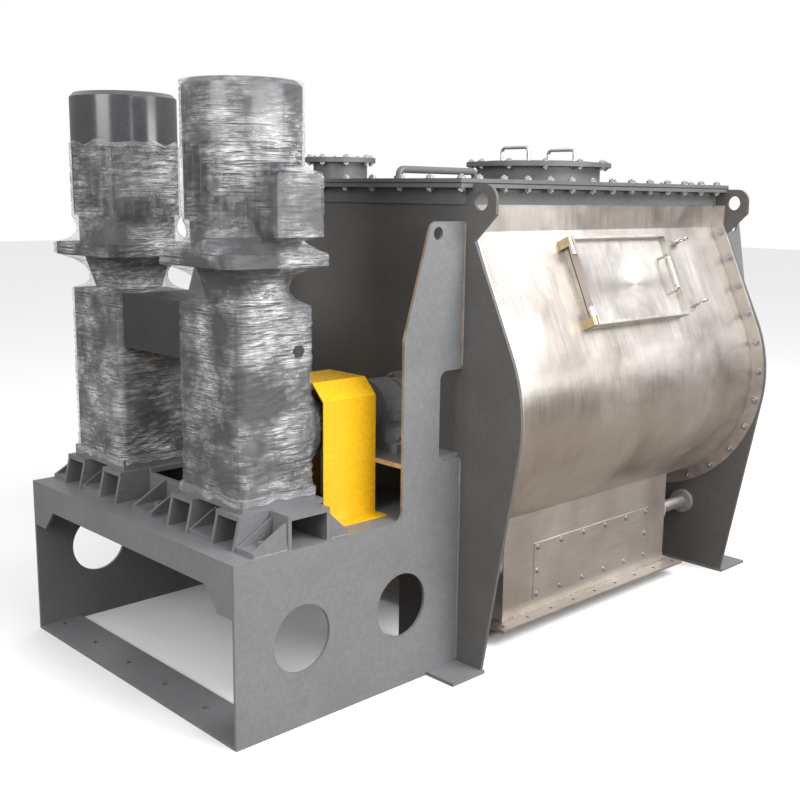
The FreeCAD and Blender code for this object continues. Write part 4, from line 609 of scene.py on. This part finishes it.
def outline(angle, z, front):
    """The reach of the parts at this height: gearbox, cone, flange, motor, terminal box and hub."""
    if z < 0.686:
        reach = box_ray(angle, 0.137, 0.165)
    elif z < 1.235:
        reach = box_ray(angle, 0.131, 0.155)
    elif z < 1.35:
        reach = 0.106 + 0.036 * (z - 1.235) / 0.115
    elif z < 1.39:
        reach = box_ray(angle, 0.18, 0.18)
    elif z < 1.48:
        reach = 0.156
    else:
        reach = 0.172
    turn = math.atan2(math.sin(angle), math.cos(angle))
    drop = abs(z - 0.85)
    if drop < 0.142 and abs(turn) < 1.2:
        for radius, length in ((0.142, 0.15), (0.12, 0.2075)):
            if drop < radius and length * math.tan(abs(turn)) < math.sqrt(radius ** 2 - drop ** 2):
                reach = max(reach, length / math.cos(turn))
    box_turn = turn + math.pi / 2 if front else turn - math.pi / 4
    box_turn = math.atan2(math.sin(box_turn), math.cos(box_turn))
    if 1.436 < z < 1.616 and abs(box_turn) < 0.9 and 0.263 * math.tan(abs(box_turn)) < 0.08:
        reach = max(reach, 0.264 / math.cos(box_turn))
    eye_turn = turn + math.pi / 2 if front else turn - math.pi / 2
    if 1.612 < z < 1.672 and abs(math.atan2(math.sin(eye_turn), math.cos(eye_turn))) < 0.05:
        reach = max(reach, 0.229)
    return reach


def film(name, centre_y, front, seed):
    low, high = 0.668, 1.8685 if front else 1.712
    angles = np.linspace(0, 2 * math.pi, ROUND, endpoint=False)
    heights = np.linspace(low, high, STEPS)
    least = np.array([[outline(a, z, front) + 0.0035 for a in angles] for z in heights])
    reach = least.copy()
    for _ in range(70):
        spread = (np.roll(reach, 1, 1) + np.roll(reach, -1, 1)) / 2
        rise = reach.copy()
        rise[1:-1] = (reach[2:] + reach[:-2]) / 2
        reach = np.maximum(least, 0.5 * spread + 0.5 * rise)
    mesh = bmesh.new()
    layer = mesh.loops.layers.uv.new("wrap")
    rows = []
    for k, z in enumerate(heights):
        row = []
        for i, a in enumerate(angles):
            along = a * 0.17 + 0.42 * z
            fold = noise.noise(Vector((along * 5.0, (z - 0.35 * a * 0.17) * 42.0, seed)))
            cross = noise.noise(Vector(((z + 0.9 * a * 0.17) * 30.0, math.cos(a) * 2.0, seed + 7)))
            crumple = noise.noise(Vector((math.cos(a) * 4.2, math.sin(a) * 4.2, z * 9.0 + seed)))
            gap = min(1.0, (reach[k][i] - least[k][i]) / 0.01)
            lift = 0.0035 * max(0.0, 1 - 3.2 * abs(fold)) + 0.003 * max(0.0, 1 - 4 * abs(cross)) * (0.4 + gap)
            radius = reach[k][i] + lift + 0.006 * gap * max(0.0, crumple)
            shift = 0.0
            if k > STEPS - 14 and not front:
                shift = 0.02 * noise.noise(Vector((a * 3.1, seed, 1))) * (k - STEPS + 14) / 14
            if k < 16:
                shift = 0.016 * noise.noise(Vector((a * 2.7, seed, 2))) * (16 - k) / 16
            row.append(mesh.verts.new((AXIS_X + radius * math.cos(a), centre_y + radius * math.sin(a), z + shift)))
        rows.append(row)
    for k in range(STEPS - 1):
        for i in range(ROUND):
            j = (i + 1) % ROUND
            face = mesh.faces.new((rows[k][i], rows[k][j], rows[k + 1][j], rows[k + 1][i]))
            around_m = 2 * math.pi * 0.17 / ROUND
            corners = ((i, k), (i + 1, k), (i + 1, k + 1), (i, k + 1))
            for loop, (u, v) in zip(face.loops, corners):
                loop[layer].uv = (u * around_m, v * (high - low) / STEPS)
    if front:
        crown = mesh.verts.new((AXIS_X, centre_y, 1.8712))
        for i in range(ROUND):
            mesh.faces.new((rows[-1][i], rows[-1][(i + 1) % ROUND], crown))
    data = piece(name, mesh, FILM, "machine")
    return data


def film_material():
    """Clear film: mostly seen through, white along its fold lines, partly folded or stretched-thin film's own
    whitening and partly painted highlights of the folds.
    """
    material, tree, shader = start("packing_film", IOR=1.48)
    wrap = add(tree, "UVMap", uv_map="wrap").outputs[0]
    veil = None
    for angle, spread, fine, seed, width in ((-0.42, 2.2, 75, 1.0, 0.022), (-0.3, 3.5, 150, 4.0, 0.03),
                                             (0.55, 2.6, 60, 9.0, 0.016), (1.35, 3.0, 40, 15.0, 0.012),
                                             (-0.9, 4.0, 90, 22.0, 0.015)):
        turned = add(tree, "Mapping", Vector=wrap, Rotation=(0, 0, angle), Scale=(spread, fine, 1),
                     Location=(seed, seed, seed))
        cloud = add(tree, "TexNoise", Vector=turned.outputs[0], Scale=1.0, Detail=3.0, Roughness=0.55)
        near = sums(tree, "ABSOLUTE", sums(tree, "SUBTRACT", cloud.outputs[0], 0.5))
        line = ramp(tree, near, (0.0, 1.0), (width, 0.35), (2.4 * width, 0.0))
        veil = line if veil is None else sums(tree, "MAXIMUM", veil, line)
    place = add(tree, "TexCoord").outputs["Object"]
    patch = add(tree, "TexNoise", Vector=place, Scale=7.0, Detail=4.0, Roughness=0.6)
    patches = ramp(tree, patch.outputs[0], (0.42, 0.05), (0.7, 1.0))
    # The fold lines are painted white into the film's colour and opacity: partly the whitening of folded film, partly
    # painted highlights of the folds.
    white = sums(tree, "MULTIPLY", veil, patches)
    haze = add(tree, "TexNoise", Vector=place, Scale=3.0, Detail=3.0)
    body = sums(tree, "MULTIPLY_ADD", ramp(tree, haze.outputs[0], (0.4, 0.0), (0.7, 1.0)), 0.16, 0.1)
    alpha = sums(tree, "MINIMUM", sums(tree, "MULTIPLY_ADD", white, 0.75, body), 1.0)
    tree.links.new(alpha, shader.inputs["Alpha"])
    tint = blend(tree, white, (0.42, 0.43, 0.45), (0.95, 0.95, 0.96))
    tree.links.new(tint, shader.inputs["Base Color"])
    shader.inputs["Roughness"].default_value = 0.1
    shader.inputs["Specular IOR Level"].default_value = 0.9
    bump = add(tree, "Bump", Strength=0.5, Distance=0.002, Height=veil)
    tree.links.new(bump.outputs[0], shader.inputs["Normal"])
    return material


FILM = film_material()
shaft_y = (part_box("agitator_shaft_front")[0].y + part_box("agitator_shaft_front")[1].y) / 2
film("film_front", shaft_y, True, 3.0)
film("film_back", -shaft_y, False, 11.0)
